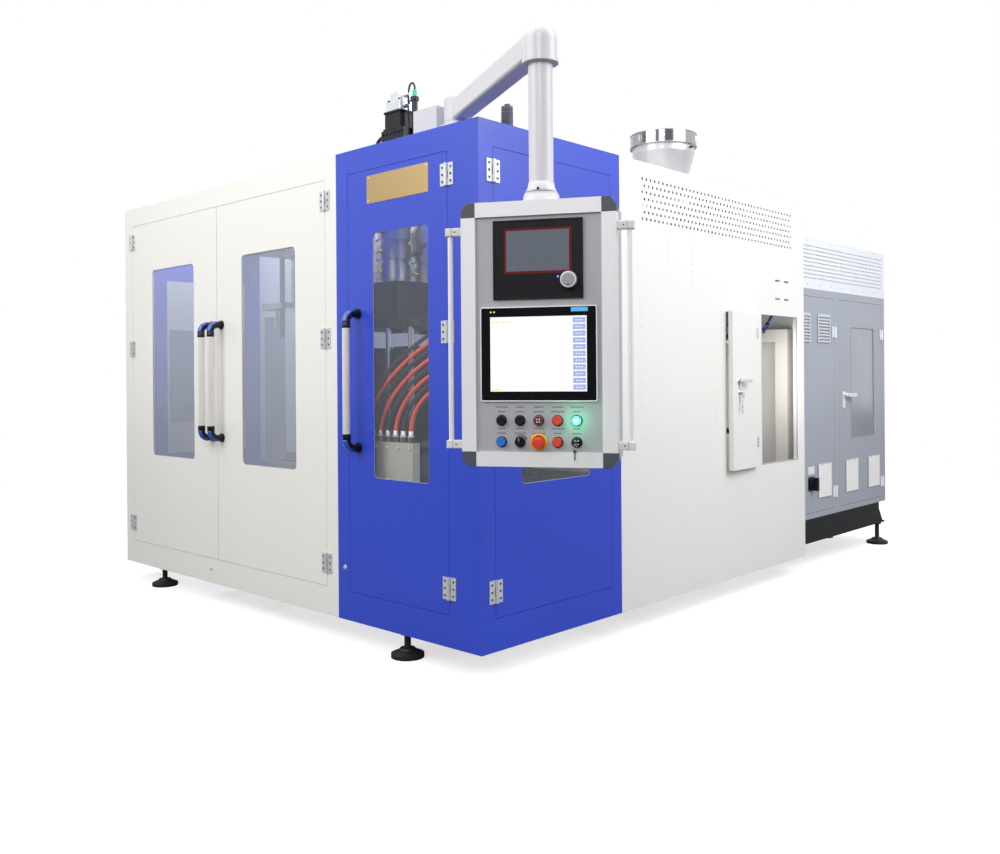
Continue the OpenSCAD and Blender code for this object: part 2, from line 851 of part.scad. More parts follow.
module left_door() {
  white_door(true);
}

module left_door_window() {
  window_pane((white_x0 + white_split) / 2, white_window_w, window_z, window_h);
}

module left_door_handle() {
  grip(white_split - white_grip_inset);
}

module right_door() {
  white_door(false);
}

module right_door_window() {
  window_pane((white_x1 + white_split) / 2, white_window_w, window_z, window_h);
}

module right_door_handle() {
  grip(white_split + white_grip_inset);
}

module front_door() {
  color(blue_c) {
    tray_door(blue_x0, blue_x1, door_z, door_top, frame_t, -1, hinge_zs, leaf_w, hinge_h)
      window_cut(blue_window_x, blue_window_w, window_z, window_h);
    window_stiffener(blue_window_x, blue_window_w, window_z, window_h);
  }
}

module front_door_window() {
  window_pane(blue_window_x, blue_window_w, window_z, window_h);
}

module front_door_handle() {
  grip(blue_x0 + blue_grip_inset);
}

module side_door() {
  mid = (side_y0 + side_y1) / 2;
  color(blue_c) on_side() {
    tray_door(side_y0, side_y1, door_z, door_top, frame_t, 1, hinge_zs, leaf_w, hinge_h)
      window_cut(mid, side_window_w, window_z, window_h);
    window_stiffener(mid, side_window_w, window_z, window_h);
  }
}

module side_door_window() {
  on_side() window_pane((side_y0 + side_y1) / 2, side_window_w, window_z, window_h);
}

module side_door_handle() {
  on_side() grip(side_y1 - blue_grip_inset);
}

// Access door, drawn for the front face with its pin at access_pin_y

access_hinge_h = 60;

module access_fixed_hinge(z) {
  third = access_hinge_h / 3;
  translate([access_pin_y, -access_pin_out, z]) {
    for (s = [0, 2 * third + knuckle_gap])
      translate([0, 0, s]) {
        cylinder(r = access_knuckle_r, h = third - knuckle_gap);
        block([-1, 0, 0], [access_knuckle_r, access_pin_out, third - knuckle_gap]);
        block([0, access_pin_out - sheet, 0], [28, access_pin_out, third - knuckle_gap]);
      }
    block([access_knuckle_r + 2, access_pin_out - sheet, 0], [28, access_pin_out, access_hinge_h]);
    cylinder(r = access_pin_r, h = access_hinge_h);
  }
}

module ajar() {
  translate([access_pin_y, -access_pin_out, 0]) rotate([0, 0, access_ajar])
    translate([-access_pin_y, access_pin_out, 0]) children();
}

module access_door() {
  x0 = access_y0 - access_overlap;
  x1 = access_y1 + access_overlap;
  z0 = port_z - access_overlap;
  z1 = port_z + port_h + access_overlap;
  third = access_hinge_h / 3;
  color(white_c) on_side() ajar() difference() {
    union() {
      front_plate(-access_t, sheet) rect([x0, z0], [x1, z1]);
      front_plate(-access_t + sheet, access_t - sheet - access_clear)
        ring_rect([x0, z0], [x1, z1], sheet);
      for (z = access_hinge_zs) translate([access_pin_y, -access_pin_out, z + third + knuckle_gap]) {
        cylinder(r = access_knuckle_r, h = third - 2 * knuckle_gap);
        block([-access_pin_out - 1, -access_knuckle_r, 0], [0, 0, third - 2 * knuckle_gap]);
      }
    }
    for (z = access_hinge_zs) translate([access_pin_y, -access_pin_out, z])
      cylinder(r = access_pin_r + fit, h = access_hinge_h);
    rod_y(access_lever_y, -access_t - 1, access_lever_z, knob_shaft_r + fit, sheet + 2);
  }
}

module access_lever() {
  color(steel_c) on_side() ajar() {
    rod_y(access_lever_y, -access_t - 22, access_lever_z, knob_shaft_r, 30);
    rod_y(access_lever_y, -access_t - 34, access_lever_z, 13, 12);
    front_plate(-access_t - 34, 10) round_rect([access_lever_y - 9, access_lever_z - 9],
      [access_lever_y + 95, access_lever_z + 9], 8);
  }
}

// Switchgear cabinet, drawn for the front face

module cabinet_shell() {
  x0 = bay_end;
  x1 = cab_end;
  z0 = cab_z;
  z1 = cab_z + cab_h;
  on_side(cab_recess) {
    color(grey_c) {
      front_plate(0, frame_t) difference() {
        rect([x0, z0], [x1, z1]);
        rect([cab_left_y0, cab_door_z], [cab_left_y1, cab_door_z + cab_door_h]);
        rect([cab_right_y0, cab_door_z], [cab_right_y1, cab_door_z + cab_door_h]);
      }
      for (x = [x0, x1 - sheet]) block([x, frame_t, z0], [x + sheet, cab_depth, z1]);
      block([x0 + sheet, cab_depth - sheet, z0], [x1 - sheet, cab_depth, z1]);
      for (z = [z0, z1 - sheet])
        block([x0 + sheet, frame_t, z], [x1 - sheet, cab_depth - sheet, z + sheet]);
    }
    // Mounting plate with contactors and a terminal rail
    color("#D8D4C4") block([x0 + 60, cab_depth - 40, z0 + 100], [x1 - 60, cab_depth - sheet, z1 - 100]);
    color("#6F7680") for (row = [0 : 3], i = [0 : 9])
      block([x0 + 110 + i * 130, cab_depth - 130, z0 + 180 + row * 320],
        [x0 + 200 + i * 130, cab_depth - 40, z0 + 300 + row * 320]);
  }
}

hood_cols = floor((cab_len - 80) / hood_pitch);
hood_rows = floor((hood_h - 110) / hood_pitch) + 1;

module cabinet_hood() {
  x0 = bay_end;
  x1 = cab_end;
  z0 = cab_z + cab_h;
  z1 = z0 + hood_h;
  color(grey_c) on_side(cab_recess) {
    front_plate(0, sheet) difference() {
      rect([x0, z0], [x1, z1]);
      hole_rows([x0 + (cab_len - (hood_cols - 1) * hood_pitch) / 2, z0 + 70], hood_cols, hood_rows,
        hood_pitch, hood_pitch, hood_hole_r, 0);
    }
    for (x = [x0, x1 - sheet]) block([x, sheet, z0], [x + sheet, cab_depth, z1]);
    block([x0 + sheet, cab_depth - sheet, z0], [x1 - sheet, cab_depth, z1]);
    block([x0 + sheet, sheet, z1 - sheet], [x1 - sheet, cab_depth - sheet, z1]);
  }
}

module louvre_vent(x, z, w, h) {
  slots = 8;
  pitch = (h - 20) / slots;
  front_plate(-8, 8) difference() {
    rect([x, z], [x + w, z + h]);
    for (i = [0 : slots - 1]) rect([x + 12, z + 12 + i * pitch], [x + w - 12, z + 12 + i * pitch + pitch / 2]);
  }
}

// Cover of an air filter: a rim round a recessed face
module filter_plate(x, z, w, h) {
  rim = 12;
  front_plate(-8, 8) ring_rect([x, z], [x + w, z + h], rim);
  front_plate(-6, 6) rect([x + rim / 2, z + rim / 2], [x + w - rim / 2, z + h - rim / 2]);
}

module cabinet_left_door() {
  color(grey_c) on_side(cab_recess) {
    tray_door(cab_left_y0, cab_left_y1, cab_door_z, cab_door_z + cab_door_h, cab_door_t, -1,
      cab_hinge_zs, cab_leaf_w, cab_hinge_h)
      translate([isolator_y, isolator_z]) circle(knob_shaft_r + fit);
    for (x = [cab_left_y0 + 5, cab_left_y0 + 300])
      louvre_vent(x + 10, cab_door_z + cab_door_h - vent_top, vent_w, vent_h);
    filter_plate(cab_left_y0 + 305, cab_door_z + 90, 195, filter_h);
  }
}

module isolator_knob() {
  color(black_c) on_side(cab_recess) translate([isolator_y, 0, isolator_z]) {
    rod_y(0, -10, 0, knob_shaft_r, 30);
    rod_y(0, -22, 0, 38, 14);
    block([-12, -50, -42], [12, -22, 42]);
  }
}

module cabinet_right_door() {
  color(grey_c) on_side(cab_recess) {
    difference() {
      tray_door(cab_right_y0, cab_right_y1, cab_door_z, cab_door_z + cab_door_h, cab_door_t, -1,
        cab_hinge_zs, cab_leaf_w, cab_hinge_h) {
          round_rect([cab_window_y, cab_window_z], [cab_window_y + cab_window_w,
            cab_window_z + cab_window_h], 12);
      }
      rod_y(cab_lever_y, -10, cab_lever_z, knob_shaft_r + fit, 30);
    }
    front_plate(sheet, pane_t) rect([cab_window_y - pane_margin, cab_window_z - pane_margin],
      [cab_window_y + cab_window_w + pane_margin, cab_window_z + cab_window_h + pane_margin]);
    for (x = [95, 475]) filter_plate(cab_right_y0 + x, cab_door_z + 90, 200, filter_h);
  }
}

module cabinet_lever() {
  color(steel_c) on_side(cab_recess) translate([cab_lever_y, 0, cab_lever_z]) {
    rod_y(0, -10, 0, knob_shaft_r, 30);
    rod_y(0, -30, 0, 15, 22);
    front_plate(-42, 12) round_rect([-10, -12], [130, 12], 10);
  }
}

// Extruder and drive

band_count = 5;
band_w = 150;
band_t = 13;

module barrel() {
  y1 = gearbox_y0;
  band_pitch = (throat_y0 - barrel_y0 - 60) / band_count;
  difference() {
    union() {
      color(steel_c) rod_y(-screw_in, barrel_y0, screw_z, barrel_r, y1 - barrel_y0);
      color("#B9A98A") for (i = [0 : band_count - 1])
        rod_y(-screw_in, barrel_y0 + 50 + i * band_pitch, screw_z, barrel_r + band_t, band_w);
      color(dark_c) block([-screw_in - 120, throat_y0, screw_z - 120],
        [-screw_in + 120, y1, screw_z + 120]);
      color(dark_c) translate([-screw_in, hopper_y, screw_z + 120]) cylinder(r = 80, h = 20);
    }
    rod_y(-screw_in, barrel_y0 - 1, screw_z, screw_r + 0.3, y1 - barrel_y0 + 2);
    translate([-screw_in, hopper_y, screw_z]) cylinder(r = 50, h = 160);
  }
}

module screw() {
  color("#BFC3C8") {
    rod_y(-screw_in, barrel_y0 + 20, screw_z, screw_r - 9, gearbox_y0 - barrel_y0 + 40);
    turns = floor((gearbox_y0 - barrel_y0 - 200) / 70);
    for (i = [0 : turns - 1]) rod_y(-screw_in, barrel_y0 + 60 + i * 70, screw_z, screw_r, 9);
  }
}

module gearbox() {
  y0 = gearbox_y0;
  y1 = gearbox_y0 + gearbox_len;
  z0 = deck_z + deck_h;
  color("#5C6E86") difference() {
    union() {
      block([-screw_in - gearbox_w / 2, y0, z0], [-screw_in + gearbox_w / 2, y1, gearbox_top]);
      for (s = [-1, 1]) block([-screw_in + s * gearbox_w / 2 - (s < 0 ? 16 : 0), y0 + 40, z0],
        [-screw_in + s * gearbox_w / 2 + (s > 0 ? 16 : 0), y1 - 40, z0 + 20]);
      rod_y(-screw_in, y1, screw_z, 95, 30);
    }
    rod_y(-screw_in, y0 - 1, screw_z, screw_r - 9 + fit, 120);
  }
}

module drive_motor() {
  y1 = gearbox_y0;
  fins = 20;
  color("#3F4A58") translate([-screw_in, y1, motor_z]) rotate([90, 0, 0]) {
    cylinder(r = motor_r, h = 24);
    cylinder(r = motor_r - 16, h = motor_len);
    for (i = [0 : fins - 1]) rotate([0, 0, i * 360 / fins])
      translate([motor_r - 18, -3, 24]) cube([14, 6, motor_len - 110]);
    translate([0, 0, motor_len - 70]) cylinder(r = motor_r - 4, h = 70);
    translate([-60, motor_r - 40, 120]) cube([120, 30, 140]);
  }
}

hopper_wall = 2;
hopper_ring_h = 78;

module hopper() {
  top = top_z + hopper_rise;
  throat_top = screw_z + 140;
  throat_r = 50;
  ring_z = top - hopper_ring_h;
  cone_top_r = hopper_r - 12;
  color("#D5D8DA") translate([-screw_in, hopper_y, 0]) {
    rotate_extrude() polygon([
      [throat_r, throat_top], [throat_r + 40, throat_top], [throat_r + 40, throat_top + 10],
      [throat_r + hopper_wall, throat_top + 10], [throat_r + hopper_wall, throat_top + 60],
      [cone_top_r, ring_z - 40], [cone_top_r, ring_z], [hopper_r, ring_z], [hopper_r, top],
      [hopper_r - hopper_wall, top], [hopper_r - hopper_wall, ring_z + hopper_wall],
      [cone_top_r - hopper_wall, ring_z + hopper_wall], [cone_top_r - hopper_wall, ring_z - 40],
      [throat_r, throat_top + 60]]);
    translate([cone_top_r - 12, 0, ring_z - 20]) rotate([0, 90, 0]) cylinder(r = 6, h = 36);
  }
}

// Die heads, their block and the plate that carries them

module die_head() {
  feed_z = screw_z;
  difference() {
    union() {
      color(dark_c) {
        block([-head_in - 240, 90, die_plate_z], [-screw_in + 140, head_back + 400, die_plate_z + die_plate_t]);
        block([-head_in - 120, head_back - 190, die_block_z], [-head_in + 120, head_back + 190, head_z]);
      }
      color(steel_c) for (y = head_ys) translate([-head_in, y, head_z]) {
        cylinder(r = head_body_r, h = head_h);
        for (i = [0 : 2]) translate([0, 0, 15 + i * 95]) cylinder(r = head_body_r + 10, h = 70);
        translate([0, 0, head_h]) cylinder(r = head_body_r - 20, h = 30);
      }
      color(dark_c) {
        block([-head_in - 50, head_back, feed_z - 50], [-head_in + 50, barrel_y0 - 80, feed_z + 50]);
        block([-head_in - 50, barrel_y0 - 80, feed_z - 60], [-screw_in + 60, barrel_y0, feed_z + 60]);
        rod_y(-screw_in, barrel_y0 - 20, feed_z, barrel_r + 25, 20);
      }
    }
    for (y = head_ys) translate([-head_in, y, die_plate_z - 1])
      cylinder(r = 55, h = die_plate_t + 2);
  }
  color(steel_c) for (y = head_ys) difference() {
    translate([-head_in, y, die_plate_z - 16]) cylinder(r = 45, h = die_plate_t + 17);
    translate([-head_in, y, die_plate_z - 17]) cylinder(r = 16, h = 40);
  }
}

// Parison valve gear and silencer on the blue roof

valve_x = -blue_len + 190;
valve_y = 250;
silencer = [-60, 240];

module roof_valve_gear() {
  z = top_z;
  translate([valve_x, valve_y, z]) {
    color(black_c) block([-80, -60, 0], [80, 60, 122]);
    color("#B4B7BC") block([-70, -45, 122], [40, 45, 214]);
    color("#8D9196") translate([-20, 0, 214]) cylinder(r = 18, h = 28);
    color(steel_c) translate([95, 0, 0]) cylinder(r = 14, h = 250);
    color(steel_c) translate([95, 0, 250]) cylinder(r = 20, h = 18);
    color(black_c) translate([150, 20, 0]) cylinder(r = 36, h = 66);
  }
  color("#3B3F45") translate([silencer[0], silencer[1], z]) {
    cylinder(r = 32, h = 12);
    cylinder(r = 25, h = 80);
    cylinder(r = 22, h = 84);
    translate([0, 0, 84]) cylinder(r = 25, h = 14);
    translate([-6, 4, 84]) cylinder(r = 10, h = 27);
    translate([14, -6, 84]) cylinder(r = 7, h = 22);
  }
}

// Clamp bed, blow station frame and columns

module clamp_bed() {
  cross_ys = [sill_y0, head_back + 390 + 60];
  color("#566070") {
    for (y = bed_ys) block([bed_x0, y - 40, bed_z], [bed_x1, y + 40, bed_z + bed_h]);
    block([bed_x0, sill_y0, bed_z], [bed_x1, sill_y0 + sill_w, bed_z + bed_h]);
    block([bed_x0, cross_ys[1] - 60, bed_z], [bed_x1, cross_ys[1], bed_z + bed_h]);
    for (x = [bed_x0, blow_x - base_w / 2, bed_x1 - base_w]) {
      block([x, sill_y0, bed_z], [x + base_w, cross_ys[1], bed_z + bed_h]);
      for (y = [sill_y0 + 10, cross_ys[1] - base_w])
        block([x, y, body_z + base_h], [x + base_w, y + base_w - 10, bed_z]);
    }
    // Gantry over the blow station
    for (y = [sill_y0 + 20, cross_ys[1] - 60])
      block([blow_x - 30, y, bed_z + bed_h], [blow_x + 30, y + 60, gantry_top]);
  }
  color(dark_c) difference() {
    block([blow_x - 160, sill_y0 + 20, gantry_top], [blow_x + 160, cross_ys[1], gantry_top + gantry_t]);
    translate([blow_x, head_back, gantry_top - 1]) cylinder(r = 12 + fit, h = gantry_t + 2);
  }
  color(steel_c) {
    for (y = bed_ys)
      block([bed_x0, y - rail_section / 2, bed_z + bed_h], [bed_x1, y + rail_section / 2, bed_z + bed_h + rail_section]);
    for (s = [-1, 1]) translate([blow_x + s * guide_dx, head_back, guide_z0])
      cylinder(r = guide_r, h = gantry_top - guide_z0);
    // Chrome columns in front of the die heads and posts behind them
    for (x = column_xs) translate([x, sill_y0 + 75, bed_z + bed_h])
      cylinder(r = column_r, h = die_plate_z - bed_z - bed_h);
  }
  color("#566070") for (x = [-head_in - 200, -screw_in + 60])
    block([x, cross_ys[1] - 60, bed_z + bed_h], [x + 60, cross_ys[1], die_plate_z]);
  color(steel_c) translate([blow_x, head_back, gantry_top + gantry_t]) difference() {
    cylinder(r = 40, h = 170);
    translate([0, 0, -1]) cylinder(r = 12 + fit, h = 160);
  }
}

module mould_carriage() {
  x0 = -carriage_half;
  x1 = carriage_half;
  translate([-head_in, 0, 0]) {
    color("#6B7686") {
      block([x0, bed_ys[0] - 42, carriage_z], [x1, bed_ys[1] + 42, carriage_z + carriage_plate_t]);
      for (y = bed_ys, x = [x0, x1 - 140])
        block([x, y - 42, bed_z + bed_h + rail_section + deck_gap], [x + 140, y + 42, carriage_z]);
      for (s = [-1, 1]) difference() {
        block([s > 0 ? x1 - end_plate_t : x0, platen_y0, carriage_z + carriage_plate_t],
          [s > 0 ? x1 : x0 + end_plate_t, platen_y1, carriage_z + carriage_plate_t + platen_h]);
        rod_x(s * x1 - 50, head_back, mould_z + mould_h / 2, rod_r + fit, 100);
      }
    }
    color(steel_c) {
      for (t = ties) rod_x(x0 + 1, t[0], t[1], tie_r, 2 * carriage_half - 2);
      for (s = [-1, 1]) difference() {
        rod_x(s > 0 ? x1 : x0 - cylinder_len, head_back, mould_z + mould_h / 2, cylinder_r, cylinder_len);
        rod_x(s > 0 ? x1 - 1 : x0 - cylinder_len + 8, head_back, mould_z + mould_h / 2, rod_r + fit,
          cylinder_len - 7);
      }
    }
  }
}

// One mould half on its platen; the right half faces -x. Both cavities are half bottles.
module mould_half(side) {
  mid_z = mould_z + mould_h / 2;
  cavity_x = side > 0 ? mould_face - closed_gap / 2 : -mould_face + closed_gap / 2;
  translate([-head_in, 0, 0]) {
    difference() {
      union() {
        color("#59616E") block([side > 0 ? platen_x : -platen_x - platen_t, platen_y0, tie_low_z - 36],
          [side > 0 ? platen_x + platen_t : -platen_x, platen_y1, mould_z + mould_h]);
        color("#3E444D") block([side > 0 ? mould_face : -platen_x, head_back - mould_len / 2, mould_z],
          [side > 0 ? platen_x : -mould_face, head_back + mould_len / 2, mould_z + mould_h]);
      }
      for (t = ties)
        rod_x(side > 0 ? platen_x - 1 : -platen_x - platen_t - 1, t[0], t[1], tie_r + fit, platen_t + 2);
      for (y = head_ys) translate([cavity_x, y, mould_z]) rotate_extrude() polygon([
        [0, 40], [66, 40], [72, 50], [72, 230], [22, 320], [22, mould_h + 1], [0, mould_h + 1]]);
    }
    color(steel_c) rod_x(side > 0 ? platen_x + platen_t : -platen_x - platen_t - 220, head_back, mid_z,
      rod_r, 220);
  }
}

module mould_left() {
  mould_half(-1);
}

module mould_right() {
  mould_half(1);
}

module blow_pins() {
  translate([blow_x, head_back, 0]) {
    color("#6B7686") difference() {
      block([-150, -150, blow_bar_z], [150, 150, blow_bar_z + blow_bar_t]);
      for (s = [-1, 1]) translate([s * guide_dx, 0, blow_bar_z - 1])
        cylinder(r = guide_r + fit, h = blow_bar_t + 2);
    }
    color(steel_c) {
      for (s = [-1, 1]) translate([0, s * head_pitch / 2, blow_bar_z - 120])
        cylinder(r = blow_pin_r, h = 120);
      translate([0, 0, blow_bar_z + blow_bar_t]) cylinder(r = 12, h = gantry_top + gantry_t + 20 - blow_bar_z);
    }
  }
}

// Hydraulics and cooling water

module hydraulic_tank() {
  x0 = bay_rail_x;
  x1 = x0 + tank_w;
  y0 = front_depth + 160;
  y1 = y0 + tank_len;
  lid_z = cab_z + tank_h + seam;
  lid_top = lid_z + lid_t;
  wall = [tank_wall, tank_wall, tank_wall];
  color("#CFC9B6") {
    difference() {
      block([x0, y0, cab_z], [x1, y1, cab_z + tank_h]);
      block([x0, y0, cab_z] + wall, [x1 - tank_wall, y1 - tank_wall, cab_z + tank_h + 1]);
    }
    block([x0 - 6, y0 - 6, lid_z], [x1 + 6, y1 + 6, lid_top]);
  }
  color("#3F4A58") translate([x0 + 180, y0 + 240, lid_top]) {
    cylinder(r = 100, h = 20);
    cylinder(r = 85, h = 330);
  }
  color(dark_c) translate([x0 + 330, y0 + 520, lid_top]) cylinder(r = 55, h = 160);
}

hose_pitch = (manifold_x1 - manifold_x0 - 60) / (hose_count - 1);

module water_manifold() {
  z0 = bed_z + bed_h;
  color("#C8C2AE") block([manifold_x0, sill_y0 + 8, z0], [manifold_x1, sill_y0 + 50, z0 + manifold_h]);
  color("#C8A24A") for (i = [0 : hose_count - 1])
    translate([manifold_x0 + 30 + i * hose_pitch, hose_y, z0 + manifold_h])
      cylinder(r = hose_r + 4, h = nipple_h, $fn = 6);
  color("#9AA0A8") block([hose_x_end, frame_t, hose_z_end - 30],
    [hose_x_end + 70, 110, hose_z_end + hose_row * hose_count]);
}

function bezier(a, b, c, d, t) =
  a * pow(1 - t, 3) + b * 3 * t * pow(1 - t, 2) + c * 3 * t * t * (1 - t) + d * pow(t, 3);

module coolant_hoses() {
  for (i = [0 : hose_count - 1]) {
    start = [manifold_x0 + 30 + i * hose_pitch, hose_z0];
    end = [hose_x_end - 3, hose_z_end + hose_row * (hose_count - 1 - i)];
    path = [for (k = [0 : hose_steps]) bezier(start, start + [0, 130 + 8 * (hose_count - i)],
      end - [260 + 12 * (hose_count - i), 60], end, k / hose_steps)];
    color(i % 2 == 0 ? black_c : "#E5502E") translate([0, hose_y, 0]) flat_tube(path, hose_r);
  }
}

// Swivel arm

module arm_base() {
  box_len = 150;
  color(white_c) {
    translate([pivot[0], pivot[1], top_z]) cylinder(r = elbow_r + 6, h = base_flange_t);
    translate([pivot[0], pivot[1], top_z]) cylinder(r = elbow_r, h = beam_z - top_z - base_gap);
    translate([pivot[0], pivot[1], top_z - 30]) cylinder(r = king_pin_r, h = beam_z - top_z + 30 + 60);
    block([pivot[0] - 84 - box_len, pivot[1] - 45, top_z], [pivot[0] - 84, pivot[1] + 45, top_z + 112]);
    block([pivot[0] - 84, pivot[1] - 30, top_z], [pivot[0], pivot[1] + 30, beam_z - base_gap]);
  }
}

module arm_beam() {
  color(white_c) {
    difference() {
      union() {
        translate([pivot[0], pivot[1], beam_z]) cylinder(r = elbow_r, h = beam_h + 5);
        translate([pivot[0], pivot[1], beam_z]) rotate([0, 0, -arm_angle])
          translate([king_pin_r + 10, 0, 0]) rotate([90, 0, 90]) linear_extrude(arm_len - 18 - king_pin_r)
            round_rect([-beam_w / 2, 0], [beam_w / 2, beam_h], beam_edge_r);
        translate([elbow[0], elbow[1], beam_z]) rotate([0, 0, 64]) rotate_extrude() elbow_outline();
      }
      translate([pivot[0], pivot[1], beam_z - 1]) cylinder(r = king_pin_r + fit, h = 72);
    }
    translate([elbow[0], elbow[1], drop_z]) cylinder(r = drop_r, h = beam_z - drop_z);
    translate([elbow[0], elbow[1], panel_top - 18]) cylinder(r = king_pin_r, h = drop_z - panel_top + 60);
  }
}

// Half outline of the elbow: a collar, a straight wall and a round top
module elbow_outline() {
  translate([0, -elbow_skirt]) square([elbow_r + 3, 16]);
  translate([0, -elbow_skirt]) square([elbow_r, elbow_skirt + elbow_wall]);
  translate([0, elbow_wall]) intersection() {
    circle(elbow_r);
    square([elbow_r, elbow_r]);
  }
}

// Operator panel, drawn facing -y round the drop tube's axis

module panel_box() {
  u = panel_w / 2 - sheet;
  z0 = panel_bottom + sheet;
  z1 = panel_top - sheet;
  color("#B9BBBF") on_panel() {
    difference() {
      front_plate(plate_v, panel_d / 2 - plate_v) bevel_rect([-u, z0], [u, z1]);
      front_plate(plate_v + plate_t, panel_d / 2 - sheet - plate_v - plate_t)
        bevel_rect([-u + sheet, z0 + sheet], [u - sheet, z1 - sheet]);
      for (p = button_places) rod_y(p[0], plate_v - 1, p[1], stem_r + fit, plate_t + 2);
      for (p = turn_places) rod_y(p[0], plate_v - 1, p[1], knob_shaft_r + fit, plate_t + 2);
      block([-controller_w / 2 + 12, plate_v - 1, controller_z + 12],
        [controller_w / 2 - 12, plate_v + plate_t + 1, controller_z + controller_h - 12]);
      block([-screen_w / 2 + 12, plate_v - 1, screen_z + 12],
        [screen_w / 2 - 12, plate_v + plate_t + 1, screen_z + screen_h - 12]);
      translate([0, 0, z1 - 2 * sheet]) cylinder(r = king_pin_r + fit, h = 3 * sheet);
    }
    // Buzzer between the buttons
    color("#7A1F22") rod_y(0, plate_v - 12, row_1_z, head_r, 12);
    // Swivel head on the panel's top
    difference() {
      translate([0, 0, z1]) cylinder(r = elbow_r - 1, h = drop_z - base_gap - z1);
      translate([0, 0, z1 - 1]) cylinder(r = king_pin_r + fit, h = drop_z - z1 + 2);
      block([-panel_w, panel_front - 1, z1 - 1], [panel_w, panel_front + 30, panel_top]);
    }
  }
}

button_places = [[-2 * button_pitch, row_1_z], [-button_pitch, row_1_z], [button_pitch, row_1_z],
  [2 * button_pitch, row_1_z], [-2 * button_pitch, row_2_z], [0, row_2_z], [button_pitch, row_2_z]];
turn_places = [[-button_pitch, row_2_z], [2 * button_pitch, row_2_z]];

module panel_frame() {
  half = panel_w / 2;
  low = [-half, panel_bottom];
  high = [half, panel_top];
  color("#D8D6D8") on_panel() {
    front_plate(panel_front, bezel_lip) difference() {
      bevel_rect(low, high);
      rect(low + [bar_w, bar_w], high - [bar_w, bar_w]);
    }
    difference() {
      front_plate(plate_v, 30) difference() {
        bevel_rect(low, high);
        bevel_rect(low + [sheet, sheet], high - [sheet, sheet], 0.3);
      }
      translate([0, 0, panel_top - 2 * sheet]) cylinder(r = elbow_r - 1, h = 4 * sheet);
    }
    for (s = [-1, 1]) {
      translate([s * rail_u, rail_v, rail_z0]) cylinder(r = rail_r, h = rail_z1 - rail_z0);
      for (z = [rail_z0, rail_z1 - bracket_h])
        block([s > 0 ? half : -bracket_u, bracket_v, z], [s > 0 ? bracket_u : -half, bracket_v + bracket_t,
          z + bracket_h]);
    }
  }
}

module controller_unit() {
  color(black_c) on_panel() difference() {
    union() {
      front_plate(plate_v - controller_proud, controller_proud)
        rect([-controller_w / 2, controller_z], [controller_w / 2, controller_z + controller_h]);
      block([-controller_w / 2 + 12.5, plate_v, controller_z + 12.5],
        [controller_w / 2 - 12.5, plate_v + 70, controller_z + controller_h - 12.5]);
    }
    block([-115, plate_v - controller_proud - 1, controller_z + 86], [115, plate_v - controller_proud + 2,
      controller_z + controller_h - 28]);
    rod_y(controller_knob_u, plate_v - controller_proud - 1, controller_knob_z, knob_shaft_r + fit, 30);
  }
}

module controller_knob() {
  color("#7E8896") on_panel() translate([controller_knob_u, plate_v - controller_proud, controller_knob_z]) {
    rod_y(0, -10, 0, knob_shaft_r, 32);
    rod_y(0, -22, 0, 26, 21.5);
  }
}

module touch_screen() {
  color("#2A2C30") on_panel() difference() {
    union() {
      front_plate(plate_v - controller_proud, controller_proud)
        round_rect([-screen_w / 2, screen_z], [screen_w / 2, screen_z + screen_h], 8);
      block([-screen_w / 2 + 12.5, plate_v, screen_z + 12.5],
        [screen_w / 2 - 12.5, plate_v + 50, screen_z + screen_h - 12.5]);
    }
    block([-164, plate_v - controller_proud - 1, screen_z + 32],
      [164, plate_v - controller_proud + 1, screen_z + screen_h - 32]);
  }
}

// Push button: head in front of the plate, stem through it
module push_button(place, r, head_t, stand, tint) {
  color(tint) on_panel() translate([place[0], plate_v, place[1]]) {
    rod_y(0, -stand - head_t, 0, r, head_t);
    rod_y(0, -stand, 0, stem_r, stand + plate_t + 6);
  }
}

button_stand = button_travel + 1;

module black_button_left() {
  push_button(button_places[0], head_r, 7, button_stand, black_c);
}

module black_button_right() {
  push_button(button_places[1], head_r, 7, button_stand, black_c);
}

module red_button_upper() {
  push_button(button_places[2], head_r, 7, button_stand, "#E8502F");
}

module green_button() {
  push_button(button_places[3], head_r, 7, button_stand, "#35C27A");
}

module blue_button() {
  push_button(button_places[4], head_r, 7, button_stand, "#2F7FD0");
}

module emergency_stop() {
  push_button(button_places[5], 20, 16, 8, "#E0432A");
}

module red_button_lower() {
  push_button(button_places[6], head_r, 7, button_stand, "#E8502F");
}

module speed_knob() {
  color(black_c) on_panel() translate([turn_places[0][0], plate_v, turn_places[0][1]]) {
    rod_y(0, -16, 0, head_r, 15.5);
    rod_y(0, -8, 0, knob_shaft_r, 20);
    block([-3, -24, -head_r + 1], [3, -16, head_r - 1]);
  }
}

module key_switch() {
  color(steel_c) on_panel() translate([turn_places[1][0], plate_v, turn_places[1][1]]) {
    rod_y(0, -10, 0, head_r - 3, 9.5);
    rod_y(0, -5, 0, knob_shaft_r, 16);
    block([-1.5, -44, -10], [1.5, -10, 10]);
  }
}

